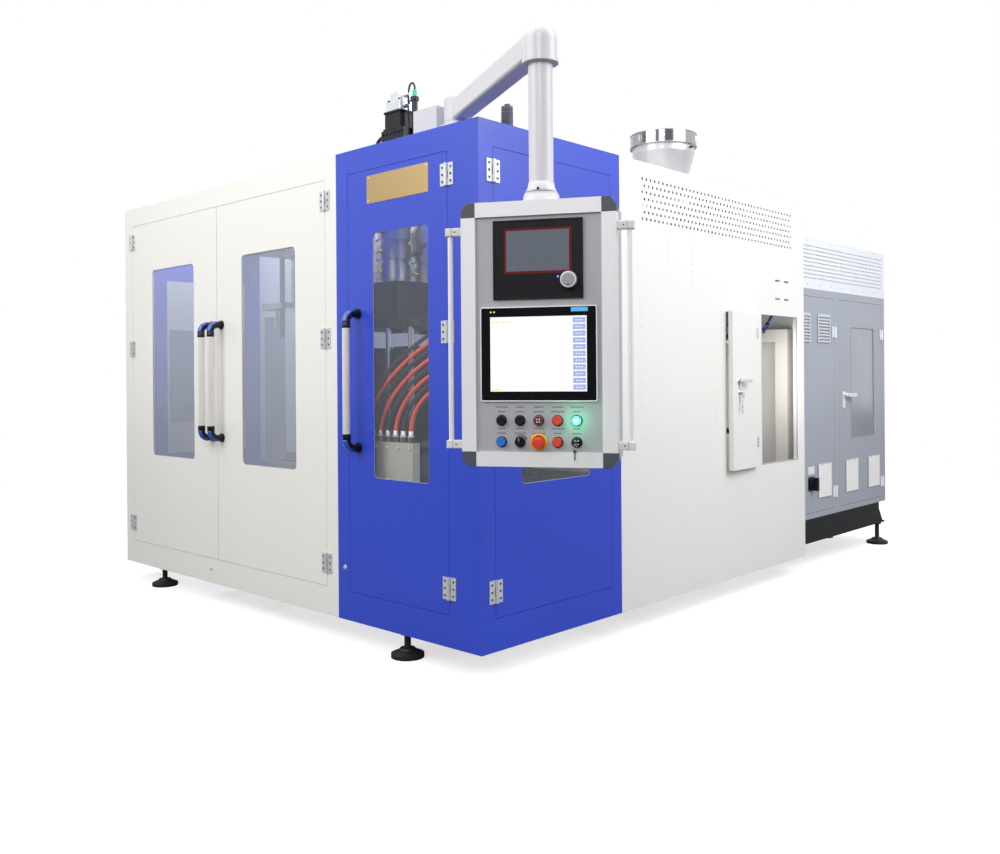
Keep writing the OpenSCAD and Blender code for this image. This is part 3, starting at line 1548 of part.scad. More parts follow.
// Each node in turn
placed() {
  machine_base();
  levelling_feet();
  white_front_frame();
  blue_corner_frame();
  blue_roof();
  mould_bay_shell();
  side_panel();
  extruder_bay_shell();
  door_hinges();
  cabinet_shell();
  cabinet_hood();
  barrel();
  gearbox();
  drive_motor();
  hopper();
  die_head();
  roof_valve_gear();
  clamp_bed();
  hydraulic_tank();
  water_manifold();
  coolant_hoses();
  arm_base();
  left_door();
  left_door_window();
  left_door_handle();
  right_door();
  right_door_window();
  right_door_handle();
  front_door();
  front_door_window();
  front_door_handle();
  side_door();
  side_door_window();
  side_door_handle();
  access_door();
  access_lever();
  cabinet_left_door();
  cabinet_right_door();
  cabinet_lever();
  isolator_knob();
  arm_beam();
  panel_box();
  panel_frame();
  controller_unit();
  controller_knob();
  touch_screen();
  black_button_left();
  black_button_right();
  red_button_upper();
  red_button_lower();
  green_button();
  blue_button();
  emergency_stop();
  key_switch();
  speed_knob();
  screw();
  mould_carriage();
  mould_left();
  mould_right();
  blow_pins();
}
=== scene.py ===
"""Finishes and fine pieces of a shuttle blow moulding machine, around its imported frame.

Places are given in millimetres from the machine's front corner: x to the right along the front,
y back along the side, z up from the floor. One class stands for each sub-assembly.
"""

import logging
import math
from collections.abc import Callable, Iterable, Sequence
from dataclasses import dataclass
from enum import Enum
from functools import cache, partial
from itertools import pairwise, product

import bmesh
import bpy
from mathutils import Matrix, Vector

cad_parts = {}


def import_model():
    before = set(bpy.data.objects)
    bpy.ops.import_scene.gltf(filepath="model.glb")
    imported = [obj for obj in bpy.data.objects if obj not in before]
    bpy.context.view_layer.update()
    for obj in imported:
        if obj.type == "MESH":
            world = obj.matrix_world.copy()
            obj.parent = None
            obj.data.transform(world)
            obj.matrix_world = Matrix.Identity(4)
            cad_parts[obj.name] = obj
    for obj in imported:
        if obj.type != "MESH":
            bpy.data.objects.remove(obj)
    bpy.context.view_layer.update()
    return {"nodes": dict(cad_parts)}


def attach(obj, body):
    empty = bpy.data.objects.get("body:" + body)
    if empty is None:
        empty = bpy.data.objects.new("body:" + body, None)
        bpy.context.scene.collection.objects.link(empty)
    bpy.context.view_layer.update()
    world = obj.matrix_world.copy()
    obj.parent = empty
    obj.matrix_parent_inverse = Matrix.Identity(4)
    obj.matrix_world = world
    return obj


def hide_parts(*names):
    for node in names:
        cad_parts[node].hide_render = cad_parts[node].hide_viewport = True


LOG = logging.getLogger("blow_moulding_machine")
MM = 0.001
CORNER = Vector((1.10589, -1.92911, 0.0))
PHOTO_WIDTH = 1000
PHOTO_HEIGHT = 854

Point = tuple[float, float, float]
Pair = tuple[float, float]
Profile = list[Pair]


class Texture(Enum):
    """How the surface of a finish was made, and the detail of its pattern."""

    SPRAYED = ("sprayed", 1.0)
    BRUSHED = ("brushed", 2.0)
    MOULDED = ("moulded", 2.0)
    CAST = ("cast", 5.0)
    POLISHED = ("polished", 0.0)
    SHEET = ("sheet", 0.0)


@dataclass(frozen=True)
class Finish:
    """One real material and the way that its surface was made.

    Attributes:
        texture: The kind of surface.
        name: The material's common name and how it was made.
        colour: Its colour as sRGB hex.
        shade: Colour of the pattern's low spots as sRGB hex, or empty.
        roughness: Mean roughness.
        grain: Size of the surface pattern in millimetres.
        relief: Height of the surface pattern in millimetres.
        metallic: 1 for bare metal, 0 for anything else.
        coat: Weight of the clear coat.
        ior: Index of refraction of a non-metal.
        alpha: Opacity.
        glow: Strength of the light that it gives off, in its own colour.
        stretch: Stretch of the pattern along x, y and z.
    """

    texture: Texture
    name: str
    colour: str
    shade: str
    roughness: float
    grain: float
    relief: float
    metallic: float = 0.0
    coat: float = 0.0
    ior: float = 1.5
    alpha: float = 1.0
    glow: float = 0.0
    stretch: Point = (1.0, 1.0, 1.0)


sprayed, brushed, moulded, cast, polished, sheet = (partial(Finish, kind) for kind in Texture)

# Polyester powder coat: a satin skin with a faint orange peel of a few millimetres.
WHITE_COAT = sprayed("warm_white_powder_coat", "#ECEBE7", "#E6E5E1", 0.34, 3.2, 0.035, coat=0.2)
BLUE_COAT = sprayed("ultramarine_powder_coat", "#304AC8", "#2C45C0", 0.36, 3.2, 0.035, coat=0.15)
GREY_COAT = sprayed("squirrel_grey_powder_coat", "#A5AAB4", "#9BA1AC", 0.42, 3.0, 0.03, coat=0.15)
VENT_COAT = sprayed("light_grey_powder_coat", "#CDD0D6", "#C3C7CE", 0.4, 3.0, 0.03, coat=0.15)
ARM_COAT = sprayed("glossy_white_enamel", "#D2D1D6", "#C9C8CE", 0.26, 5.0, 0.02, coat=0.2, ior=1.36)
CLAMP_COAT = sprayed("pale_clamp_enamel", "#DAD9D8", "#D0CFCF", 0.32, 2.0, 0.015, coat=0.2)
HOOD_COAT = sprayed("pale_grey_powder_coat", "#E8EBF0", "#DFE3EA", 0.36, 3.0, 0.03, coat=0.2)
# Inside of the mould bay: the blue tint is the bay's own paint, and the darkness below the outer white is
# painted shade for the dim light inside the bay.
SHADED_BAY_COAT = sprayed("pale_blue_grey_powder_coat", "#B0B7C8", "#A7AEC0", 0.4, 3.0, 0.03, coat=0.1)
# A dark slate plate for the mould bay's walls: painted shade for the dim inside of the bay.
PAINTED_SHADE_PLATE = sprayed("slate_powder_coat", "#6F7F9C", "#687893", 0.42, 3.0, 0.03)
LEG_COAT = sprayed("light_grey_machine_enamel", "#D6D3CD", "#CBC8C1", 0.42, 5.0, 0.03, coat=0.1)
PLATE_COAT = sprayed("fine_textured_grey_coat", "#ABABB1", "#A3A3AA", 0.5, 1.6, 0.03)
# Cast-iron and steel parts in machine enamel, brushed on over a coarse ground.
BASE_ENAMEL = cast("black_machine_enamel", "#0D0F12", "#15171B", 0.42, 9.0, 0.08, ior=1.4)
DRIVE_ENAMEL = cast("slate_blue_machine_enamel", "#566274", "#4A5566", 0.42, 7.0, 0.1, coat=0.15)
TANK_ENAMEL = cast("cream_machine_enamel", "#B0ADA0", "#A29F90", 0.42, 7.0, 0.08, coat=0.15)
# Metals: zinc plate is dull and cloudy, ground steel shows its lines, chrome is a mirror.
ZINC_PLATE = cast("bright_zinc_plate", "#DDDFE2", "#CBCED2", 0.36, 6.0, 0.02, metallic=0.45)
GROUND_STEEL = brushed("ground_steel", "#B9BBBE", "#9DA0A4", 0.3, 0.9, 0.01, metallic=1.0, stretch=(1.0,
                       1.0, 14.0))
CHROME = polished("hard_chrome_plate", "#DFE1E4", "#D2D5D9", 0.07, 12.0, 0.004, metallic=1.0)
STAINLESS = polished("polished_stainless_sheet", "#B9BABD", "#A3A2A6", 0.13, 22.0, 0.05, metallic=1.0)
SATIN_STAINLESS = polished("satin_stainless_sheet", "#C6C6CA", "#B4B4B9", 0.34, 40.0, 1.6, metallic=0.4)
BLACKED_STEEL = cast("blackened_tool_steel", "#3B3E44", "#2C2F34", 0.4, 5.0, 0.03, metallic=0.85)
BRASS = brushed("turned_brass", "#C09A48", "#A9843A", 0.28, 0.8, 0.008, metallic=1.0, stretch=(1.0, 1.0,
                10.0))
BRASS_SHEET = brushed("satin_brass_sheet", "#CDB384", "#BDA271", 0.38, 0.8, 0.008, metallic=1.0,
                      stretch=(16.0, 1.0, 1.0))
ANODISED = brushed("natural_anodised_aluminium", "#ECEBEE", "#E0DFE2", 0.42, 0.7, 0.008, metallic=0.12,
                   stretch=(1.0, 1.0, 22.0))
CHAMPAGNE = brushed("champagne_anodised_tube", "#F4F1EE", "#EBE7E3", 0.3, 0.7, 0.006, metallic=0.4,
                    stretch=(1.0, 1.0, 26.0))
# Plastics and rubber: moulded skins with a fine matt spark.
BLACK_ABS = moulded("black_moulded_abs", "#0F1012", "#17181B", 0.36, 1.2, 0.015, ior=1.38)
SATIN_BLACK = moulded("black_powdered_bezel", "#0E0F12", "#131418", 0.46, 1.0, 0.01, ior=1.32)
DARK_CORNER = moulded("anthracite_moulded_nylon", "#4A505A", "#434851", 0.5, 1.4, 0.025)
BLUE_CAP = moulded("blue_moulded_nylon", "#2A4FB4", "", 0.22, 1.2, 0.008, coat=0.4)
RED_CAP = moulded("signal_red_moulded_cap", "#E6452C", "#DB3E26", 0.3, 1.5, 0.008)
STOP_RED = moulded("emergency_red_moulded_cap", "#D93C22", "", 0.3, 1.5, 0.008)
STOP_YELLOW = moulded("yellow_moulded_collar", "#F0A81E", "", 0.38, 1.5, 0.008)
BLUE_BUTTON = moulded("blue_moulded_cap", "#1F73CC", "", 0.28, 1.5, 0.008)
BUZZER_RED = moulded("dark_red_moulded_grille", "#5E1A1E", "", 0.35, 1.5, 0.01)
WHITE_CAP = moulded("white_moulded_handle", "#E7E7E8", "#DDDDDF", 0.3, 1.4, 0.01)
COLLAR_BLACK = moulded("black_moulded_collar", "#101114", "", 0.3, 1.2, 0.008, ior=1.35)
KNOB_SKIN = moulded("silver_lacquered_knob", "#A5A4AD", "#9998A2", 0.34, 1.2, 0.01, metallic=0.2)
PALE_MARK = moulded("white_filled_mark", "#E6E2E0", "", 0.5, 1.0, 0.0)
GREY_MARK = moulded("grey_printed_mark", "#4C4F56", "", 0.6, 1.0, 0.0)
BLACK_RUBBER = moulded("black_rubber", "#141416", "#1C1C1F", 0.62, 2.2, 0.03)
SEAL_RUBBER = moulded("grey_rubber_seal", "#9AA0AB", "", 0.6, 2.2, 0.02)
HOSE_BLUE = moulded("blue_polyurethane_hose", "#1B44AC", "#163C9C", 0.34, 2.0, 0.01)
HOSE_RED = moulded("red_orange_rubber_hose", "#F04A22", "#E2401C", 0.4, 2.0, 0.02)
FILTER_MAT = moulded("white_filter_grille", "#F2F1F0", "#E4E3E2", 0.6, 4.0, 0.15)
TEAL_PLUG = moulded("teal_moulded_plug", "#2FA79A", "", 0.4, 1.2, 0.01)
# Clear sheets: polycarbonate panes with a faint tint, and screen glass over a dark ground.
PANE = sheet("clear_polycarbonate", "#DCE6F4", "", 0.03, 260.0, 0.06, ior=1.58, alpha=0.055)
HAZY_PANE = sheet("hazed_polycarbonate", "#D9DDE4", "#C6CDD9", 0.2, 240.0, 0.06, ior=1.58, alpha=0.26)
TINTED_PANE = sheet("grey_tinted_acrylic", "#A6ABB1", "#8F959C", 0.12, 240.0, 0.1, coat=0.6, alpha=0.93)
DARK_GLASS = sheet("dark_screen_glass", "#646A76", "", 0.12, 90.0, 0.0)
RED_GLASS = sheet("red_screen_border", "#6C1719", "", 0.14, 60.0, 0.0)
BLACK_GLASS = sheet("black_screen_glass", "#07080B", "#0C0E13", 0.08, 90.0, 0.0, ior=1.3)
# Lit parts keep their own colour under any light.
LIT_WHITE = sheet("lit_white_display", "#FFFFFF", "", 0.3, 50.0, 0.0, glow=1.0)
LIT_KEY = sheet("lit_pale_blue_key", "#A6B4E8", "", 0.3, 50.0, 0.0, glow=1.0)
LIT_TAG = sheet("lit_sky_blue_tag", "#5DB2E4", "", 0.3, 50.0, 0.0, glow=1.0)
LIT_GREEN = sheet("lit_green_cap", "#DCFFEF", "", 0.25, 50.0, 0.0, glow=1.6)
GREEN_RING = sheet("green_lamp_ring", "#4CF0AC", "", 0.3, 50.0, 0.0, glow=3.0)
LIT_BLUE = sheet("lit_blue_lamp", "#4F6CFF", "", 0.3, 50.0, 0.0, glow=4.0)
LIT_AMBER = sheet("lit_amber_lamp", "#F2D98A", "", 0.3, 50.0, 0.0, glow=1.2)


def linear(code: str) -> tuple[float, float, float, float]:
    """Turns an sRGB hex colour into a linear one.

    Args:
        code: The colour as #RRGGBB.

    Returns:
        Red, green, blue and an alpha of 1.
    """
    parts = [int(code[i : i + 2], 16) / 255 for i in (1, 3, 5)]
    rgb = [c / 12.92 if c <= 0.04045 else ((c + 0.055) / 1.055) ** 2.4 for c in parts]
    return rgb[0], rgb[1], rgb[2], 1.0


def add_node(
    owner: bpy.types.Material | bpy.types.World, kind: str, settings: dict[str, object] | None = None,
    **inputs: object,
) -> bpy.types.Node:
    """Adds one node with its settings and links.

    Args:
        owner: The material or world whose tree takes the node.
        kind: The node's type, after its first two words.
        settings: Attributes of the node.
        **inputs: Values, sockets or nodes by input name, with _ for a space, or i0, i1 ... by number.

    Returns:
        The new node.
    """
    node = owner.node_tree.nodes.new(f"ShaderNode{kind}")
    for name, value in (settings or {}).items():
        setattr(node, name, value)
    for name, value in inputs.items():
        number = name.removeprefix("i")
        socket = node.inputs[int(number) if number.isdigit() else name.replace("_", " ")]
        source = value.outputs[0] if isinstance(value, bpy.types.Node) else value
        if isinstance(source, bpy.types.NodeSocket):
            owner.node_tree.links.new(source, socket)
        else:
            socket.default_value = source
    return node


def node_maker(owner: bpy.types.Material | bpy.types.World) -> Callable[..., bpy.types.Node]:
    """Empties the node tree of a material or world and returns what adds nodes to it."""
    owner.use_nodes = True
    owner.node_tree.nodes.clear()
    return partial(add_node, owner)


@cache
def material_of(finish: Finish) -> bpy.types.Material:
    """Builds the material of a finish, once.

    Args:
        finish: The finish.

    Returns:
        A material whose pattern is set out in real millimetres.
    """
    material = bpy.data.materials.new(finish.name)
    node = node_maker(material)
    place = node("TexCoord").outputs["Object"]
    spread = node("Mapping", Vector=place, Scale=tuple(1.0 / s for s in finish.stretch))
    pattern = node("TexNoise", Vector=spread, Scale=1.0 / (finish.grain * MM),
                   Detail=finish.texture.value[1], Roughness=0.55)
    cloud = node("TexNoise", Vector=place, Scale=2.2, Detail=3.0, Roughness=0.6)
    colour = linear(finish.colour)
    looks: dict[str, object] = {"Base_Color": colour, "Roughness": finish.roughness}
    if finish.shade:
        worn = node("Math", {"operation": "MULTIPLY_ADD"}, i0=cloud, i1=0.55,
                    i2=node("Math", {"operation": "MULTIPLY"}, i0=pattern, i1=0.6))
        looks["Base_Color"] = node("Mix", {"data_type": "RGBA"}, i0=worn, i6=colour,
                                   i7=linear(finish.shade)).outputs[2]
        looks["Roughness"] = node("MapRange", Value=cloud, i3=finish.roughness * 0.85,
                                  i4=min(1.0, finish.roughness * 1.15))
    if finish.relief:
        looks["Normal"] = node("Bump", Height=pattern, Strength=1.0, Distance=finish.relief * MM)
    if finish.glow:
        looks |= {"Base_Color": (0.01, 0.01, 0.01, 1.0), "Emission_Color": colour,
                  "Emission_Strength": finish.glow}
    if not finish.metallic:
        looks["IOR"] = finish.ior
    surface = node("BsdfPrincipled", Metallic=finish.metallic, Coat_Weight=finish.coat, Coat_Roughness=0.12,
                   Alpha=finish.alpha, **looks)
    node("OutputMaterial", Surface=surface)
    material.diffuse_color = colour
    return material


def add_object(name: str, data: bpy.types.ID) -> bpy.types.Object:
    """Returns a new object in the scene that shows a mesh, a lamp or a camera."""
    made = bpy.data.objects.new(name, data)
    bpy.context.scene.collection.objects.link(made)
    return made


def from_corner(at: Iterable[float]) -> Vector:
    """Returns a place given from the machine's corner, in the row frame in metres."""
    return CORNER + Vector(at) * MM


def along(axis: Point) -> Matrix:
    """Returns the rotation that takes w to this axis."""
    return Vector((0, 0, 1)).rotation_difference(Vector(axis)).to_matrix().to_4x4()


def around(at: Point, angle: float, out: float = 0.0) -> Matrix:
    """Returns the transform to a place on a circle in the plane of a face.

    Args:
        at: The circle's middle.
        angle: Angle of the place in radians; w is the axis, and v points outwards there.
        out: The circle's radius.
    """
    return Matrix.Translation(at) @ Matrix.Rotation(angle, 4, "Z") @ Matrix.Translation((0, out, 0))


def polar(at: Point, radius: float, angle: float) -> Point:
    """Returns the point at a distance and an angle in radians from a place."""
    return at[0] + radius * math.cos(angle), at[1] + radius * math.sin(angle), at[2]


def disc(radius: float, height: float) -> Profile:
    """Returns the profile of a flat disc, as radius and height of each corner."""
    return [(0.0, height), (radius, height), (radius, 0.0)]


def sleeve(inner: float, outer: float, low: float, high: float) -> Profile:
    """Returns the profile of a tube between two radii and two heights."""
    return [(inner, low), (outer, low), (outer, high), (inner, high), (inner, low)]


def stub(neck: float, top: float, base: float, shoulder: float, slope: float = 0.0) -> Profile:
    """Returns the profile of a round stub with a wider base.

    Args:
        neck: Radius of its upper part.
        top: Its height.
        base: Radius of its base.
        shoulder: Height of the base.
        slope: Height of the cone between base and neck.
    """
    return [(0.0, top), (neck, top), (neck, shoulder + slope), (base, shoulder), (base, 0.0)]


def cap_screw(radius: float, height: float, socket: float, floor: float, draft: float = 0.4) -> Profile:
    """Returns the profile of a cylindrical screw head with a socket.

    Args:
        radius: The head's radius.
        height: Its height.
        socket: Radius of the socket's floor.
        floor: Height of the socket's floor.
        draft: How much wider the socket's mouth is.
    """
    return [(0.0, floor), (socket, floor), (socket + draft, height), (radius, height), (radius, 0.0)]


def screw_head(radius: float, height: float) -> Profile:
    """Returns the profile of a domed screw head with a socket, of a radius and a height."""
    return [(0.0, height * 0.35), (radius * 0.4, height * 0.35), (radius * 0.45, height),
            (radius * 0.75, height * 0.9), (radius, height * 0.35), (radius, 0.0)]


def smooth_path(stops: Sequence[Point], steps: int) -> list[Vector]:
    """Returns a smooth line through stops, with so many points from one stop to the next."""
    points = [Vector(s) for s in stops]
    ends = [points[0] * 2 - points[1], *points, points[-1] * 2 - points[-2]]
    line: list[Vector] = []
    for a, b, c, d in zip(ends, ends[1:], ends[2:], ends[3:]):
        for t in (k / steps for k in range(steps)):
            line.append(0.5 * (2 * b + (c - a) * t + (2 * a - 5 * b + 4 * c - d) * t**2
                               + (3 * b - a - 3 * c + d) * t**3))
    return [*line, points[-1]]


@dataclass(frozen=True)
class Face:
    """A face of the machine on which pieces are drawn: u to the right, v up, w outwards.

    Attributes:
        origin: Where u, v and w are 0, in millimetres from the machine's corner.
        right: Direction of u, seen from outside.
        up: Direction of v.
    """

    origin: Point = (0.0, 0.0, 0.0)
    right: Point = (1.0, 0.0, 0.0)
    up: Point = (0.0, 0.0, 1.0)

    def matrix(self) -> Matrix:
        """Returns the transform from millimetres on the face to metres in the row frame."""
        right, up = Vector(self.right), Vector(self.up)
        turn = Matrix((right, up, right.cross(up))).transposed().to_4x4()
        return Matrix.Translation(CORNER) @ Matrix.Scale(MM, 4) @ Matrix.Translation(self.origin) @ turn


FRONT = Face()
SIDE = Face(right=(0.0, 1.0, 0.0))
WORLD = Face(up=(0.0, 1.0, 0.0))


def rectangle(low: Pair, high: Pair) -> list[Pair]:
    """Returns the corners of a rectangle between its lowest and highest u and v."""
    return [(low[0], low[1]), (high[0], low[1]), (high[0], high[1]), (low[0], high[1])]


def plate(outline: Sequence[Pair], foot: float, corner: float, segments: int) -> bmesh.types.BMesh:
    """Returns one flat face at height foot, with its outline's corners rounded."""
    form = bmesh.new()
    verts = [form.verts.new((u, v, foot)) for u, v in outline]
    form.faces.new(verts)
    if corner:
        bmesh.ops.bevel(form, geom=verts, offset=corner, segments=segments, profile=0.5,
                        affect="VERTICES", material=-1)
    return form


def thicken(form: bmesh.types.BMesh, faces: list, thickness: float, edge: float, segments: int) -> None:
    """Gives flat faces a thickness and rounds the front's edges to a radius, in segments."""
    top = bmesh.ops.extrude_face_region(form, geom=faces, use_keep_orig=True)
    lid = {g for g in top["geom"] if isinstance(g, bmesh.types.BMFace)}
    bmesh.ops.translate(form, vec=(0, 0, thickness), verts=list({v for f in lid for v in f.verts}))
    if edge:
        rim = [e for e in {e for f in lid for e in f.edges} if sum(f in lid for f in e.link_faces) == 1]
        bmesh.ops.bevel(form, geom=rim, offset=edge, segments=segments, profile=0.5, affect="EDGES",
                        material=-1)


def chain(form: bmesh.types.BMesh, points: Iterable[Point]) -> list:
    """Adds a line of edges through points and returns its vertices and edges."""
    verts = [form.verts.new(p) for p in points]
    return verts + [form.edges.new(pair) for pair in pairwise(verts)]


class Shape:
    """One mesh in the making, drawn in millimetres on a face. Each method returns the shape itself."""

    def __init__(self, finish: Finish) -> None:
        """Starts an empty mesh, whose first forms have this finish."""
        self._mesh = bmesh.new()
        self._slots: list[Finish] = []
        self.use(finish)

    def use(self, finish: Finish) -> "Shape":
        """Gives the next forms this finish."""
        if finish not in self._slots:
            self._slots.append(finish)
        self._slot = self._slots.index(finish)
        return self

    def join(self, form: bmesh.types.BMesh, turn: Matrix | None = None, smooth: bool = False) -> "Shape":
        """Puts a form in place, gives it the current finish and adds it to the mesh.

        Args:
            form: The form, which is used up.
            turn: Its transform, or none.
            smooth: Whether its four-sided faces shade smoothly.
        """
        bmesh.ops.recalc_face_normals(form, faces=form.faces)
        for face in form.faces:
            face.material_index = self._slot
            face.smooth = smooth and len(face.verts) == 4
        bmesh.ops.transform(form, matrix=turn or Matrix.Identity(4), verts=form.verts)
        carrier = bpy.data.meshes.new("form")
        form.to_mesh(carrier)
        form.free()
        self._mesh.from_mesh(carrier)
        bpy.data.meshes.remove(carrier)
        return self

    def turned(self, profile: Profile, at: Point = (0.0, 0.0, 0.0), way: Point = (0, 0, 1),
               steps: int = 32) -> "Shape":
        """Adds a turned form.

        Args:
            profile: Radius and height of each corner; an open one is closed to the axis at both ends.
            at: Where the axis foot is.
            way: The direction of the axis.
            steps: Faces round the axis.
        """
        form = bmesh.new()
        outline = list(profile)
        if outline[0] != outline[-1]:
            outline = [(0.0, outline[0][1])] * (outline[0][0] > 0) + outline
            outline += [(0.0, outline[-1][1])] * (outline[-1][0] > 0)
        bmesh.ops.spin(form, geom=chain(form, ((r, 0.0, h) for r, h in outline)), cent=(0, 0, 0),
                       axis=(0, 0, 1), angle=2 * math.pi, steps=steps, use_merge=True)
        bmesh.ops.remove_doubles(form, verts=form.verts, dist=0.001)
        return self.join(form, Matrix.Translation(at) @ along(way), smooth=steps > 8)

    def prism(self, outline: Sequence[Pair], foot: float, thickness: float, corner: float = 0.0,
              edge: float = 0.0, turn: Matrix | None = None) -> "Shape":
        """Adds a plate with a straight-sided outline.

        Args:
            outline: u and v of its corners.
            foot: The w of its back.
            thickness: Its thickness.
            corner: Radius of its outline's corners.
            edge: Radius of its front edge.
            turn: A transform after it is made.
        """
        form = plate(outline, foot, corner, 4)
        thicken(form, form.faces[:], thickness, edge, 3)
        return self.join(form, turn)

    def slab(self, low: Pair, high: Pair, foot: float, thickness: float, corner: float = 0.0,
             edge: float = 0.0, turn: Matrix | None = None) -> "Shape":
        """Adds a rectangular plate between its lowest and highest u and v, otherwise as prism does."""
        return self.prism(rectangle(low, high), foot, thickness, corner, edge, turn)

    def ring(self, low: Pair, high: Pair, foot: float, thickness: float, band: float, corner: float,
             edge: float = 0.0) -> "Shape":
        """Adds a flat ring with rounded corners, such as a seal or a bezel.

        Args:
            low: Lowest u and v of its outside.
            high: Highest u and v of its outside.
            foot: The w of its back.
            thickness: Its thickness.
            band: Width of the ring.
            corner: Radius of its outer corners.
            edge: Radius of its front edges.
        """
        form = plate(rectangle(low, high), foot, corner, 6)
        inner = bmesh.ops.inset_region(form, faces=form.faces[:], thickness=band, use_even_offset=True,
                                       use_boundary=True)
        faces = list(inner["faces"])
        bmesh.ops.delete(form, geom=[f for f in form.faces if f not in faces], context="FACES_ONLY")
        thicken(form, faces, thickness, edge, 2)
        return self.join(form)

    def tube(self, path: Sequence[Vector | Point], radius: float, sides: int) -> "Shape":
        """Adds a round tube along a path, closed at both ends.

        Args:
            path: The points of its middle line.
            radius: Its radius.
            sides: Faces round it.
        """
        form = bmesh.new()
        points = [Vector(p) for p in path]
        ways = [(b - a).normalized() for a, b in pairwise(points)]
        ways = [ways[0], *((a + b).normalized() for a, b in pairwise(ways)), ways[-1]]
        ring = bmesh.ops.create_circle(form, cap_ends=True, segments=sides, radius=radius)["verts"]
        bmesh.ops.rotate(form, cent=(0, 0, 0), matrix=along(ways[0]), verts=ring)
        bmesh.ops.translate(form, vec=points[0], verts=ring)
        edges = form.edges[:]
        for here, there, old, new in zip(points, points[1:], ways, ways[1:]):
            made = bmesh.ops.extrude_edge_only(form, edges=edges)["geom"]
            ring = [g for g in made if isinstance(g, bmesh.types.BMVert)]
            edges = [g for g in made if isinstance(g, bmesh.types.BMEdge)]
            bmesh.ops.rotate(form, cent=here, matrix=old.rotation_difference(new).to_matrix(), verts=ring)
            bmesh.ops.translate(form, vec=there - here, verts=ring)
        bmesh.ops.contextual_create(form, geom=edges)
        return self.join(form, smooth=True)

    def finish(self, name: str, slot: str, body: str = "root", face: Face = WORLD) -> bpy.types.Object:
        """Turns the shape into a piece that rides on a body.

        Args:
            name: The piece's name.
            slot: A material slot's name; not used.
            body: The body that it rides on.
            face: The face that it was drawn on.

        Returns:
            The new object.
        """
        bmesh.ops.transform(self._mesh, matrix=face.matrix(), verts=self._mesh.verts)
        data = bpy.data.meshes.new(name)
        self._mesh.to_mesh(data)
        self._mesh.free()
        for finish in self._slots:
            data.materials.append(material_of(finish))
        piece = add_object(name, data)
        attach(piece, body)
        LOG.info("%s on %s: %d faces", name, body, len(data.polygons))
        return piece


def lay_cord(name: str, path: Sequence[Vector], radius: float, finish: Finish) -> bpy.types.Object:
    """Args:
        name: The piece's name.
        path: Its middle line from its exit, in millimetres from the machine's corner.
        radius: Its radius.
        finish: Its finish.

    Returns:
        The new object.
    """
    piece = Shape(finish).tube(path, radius, 16).finish(name, "hose")
    return piece


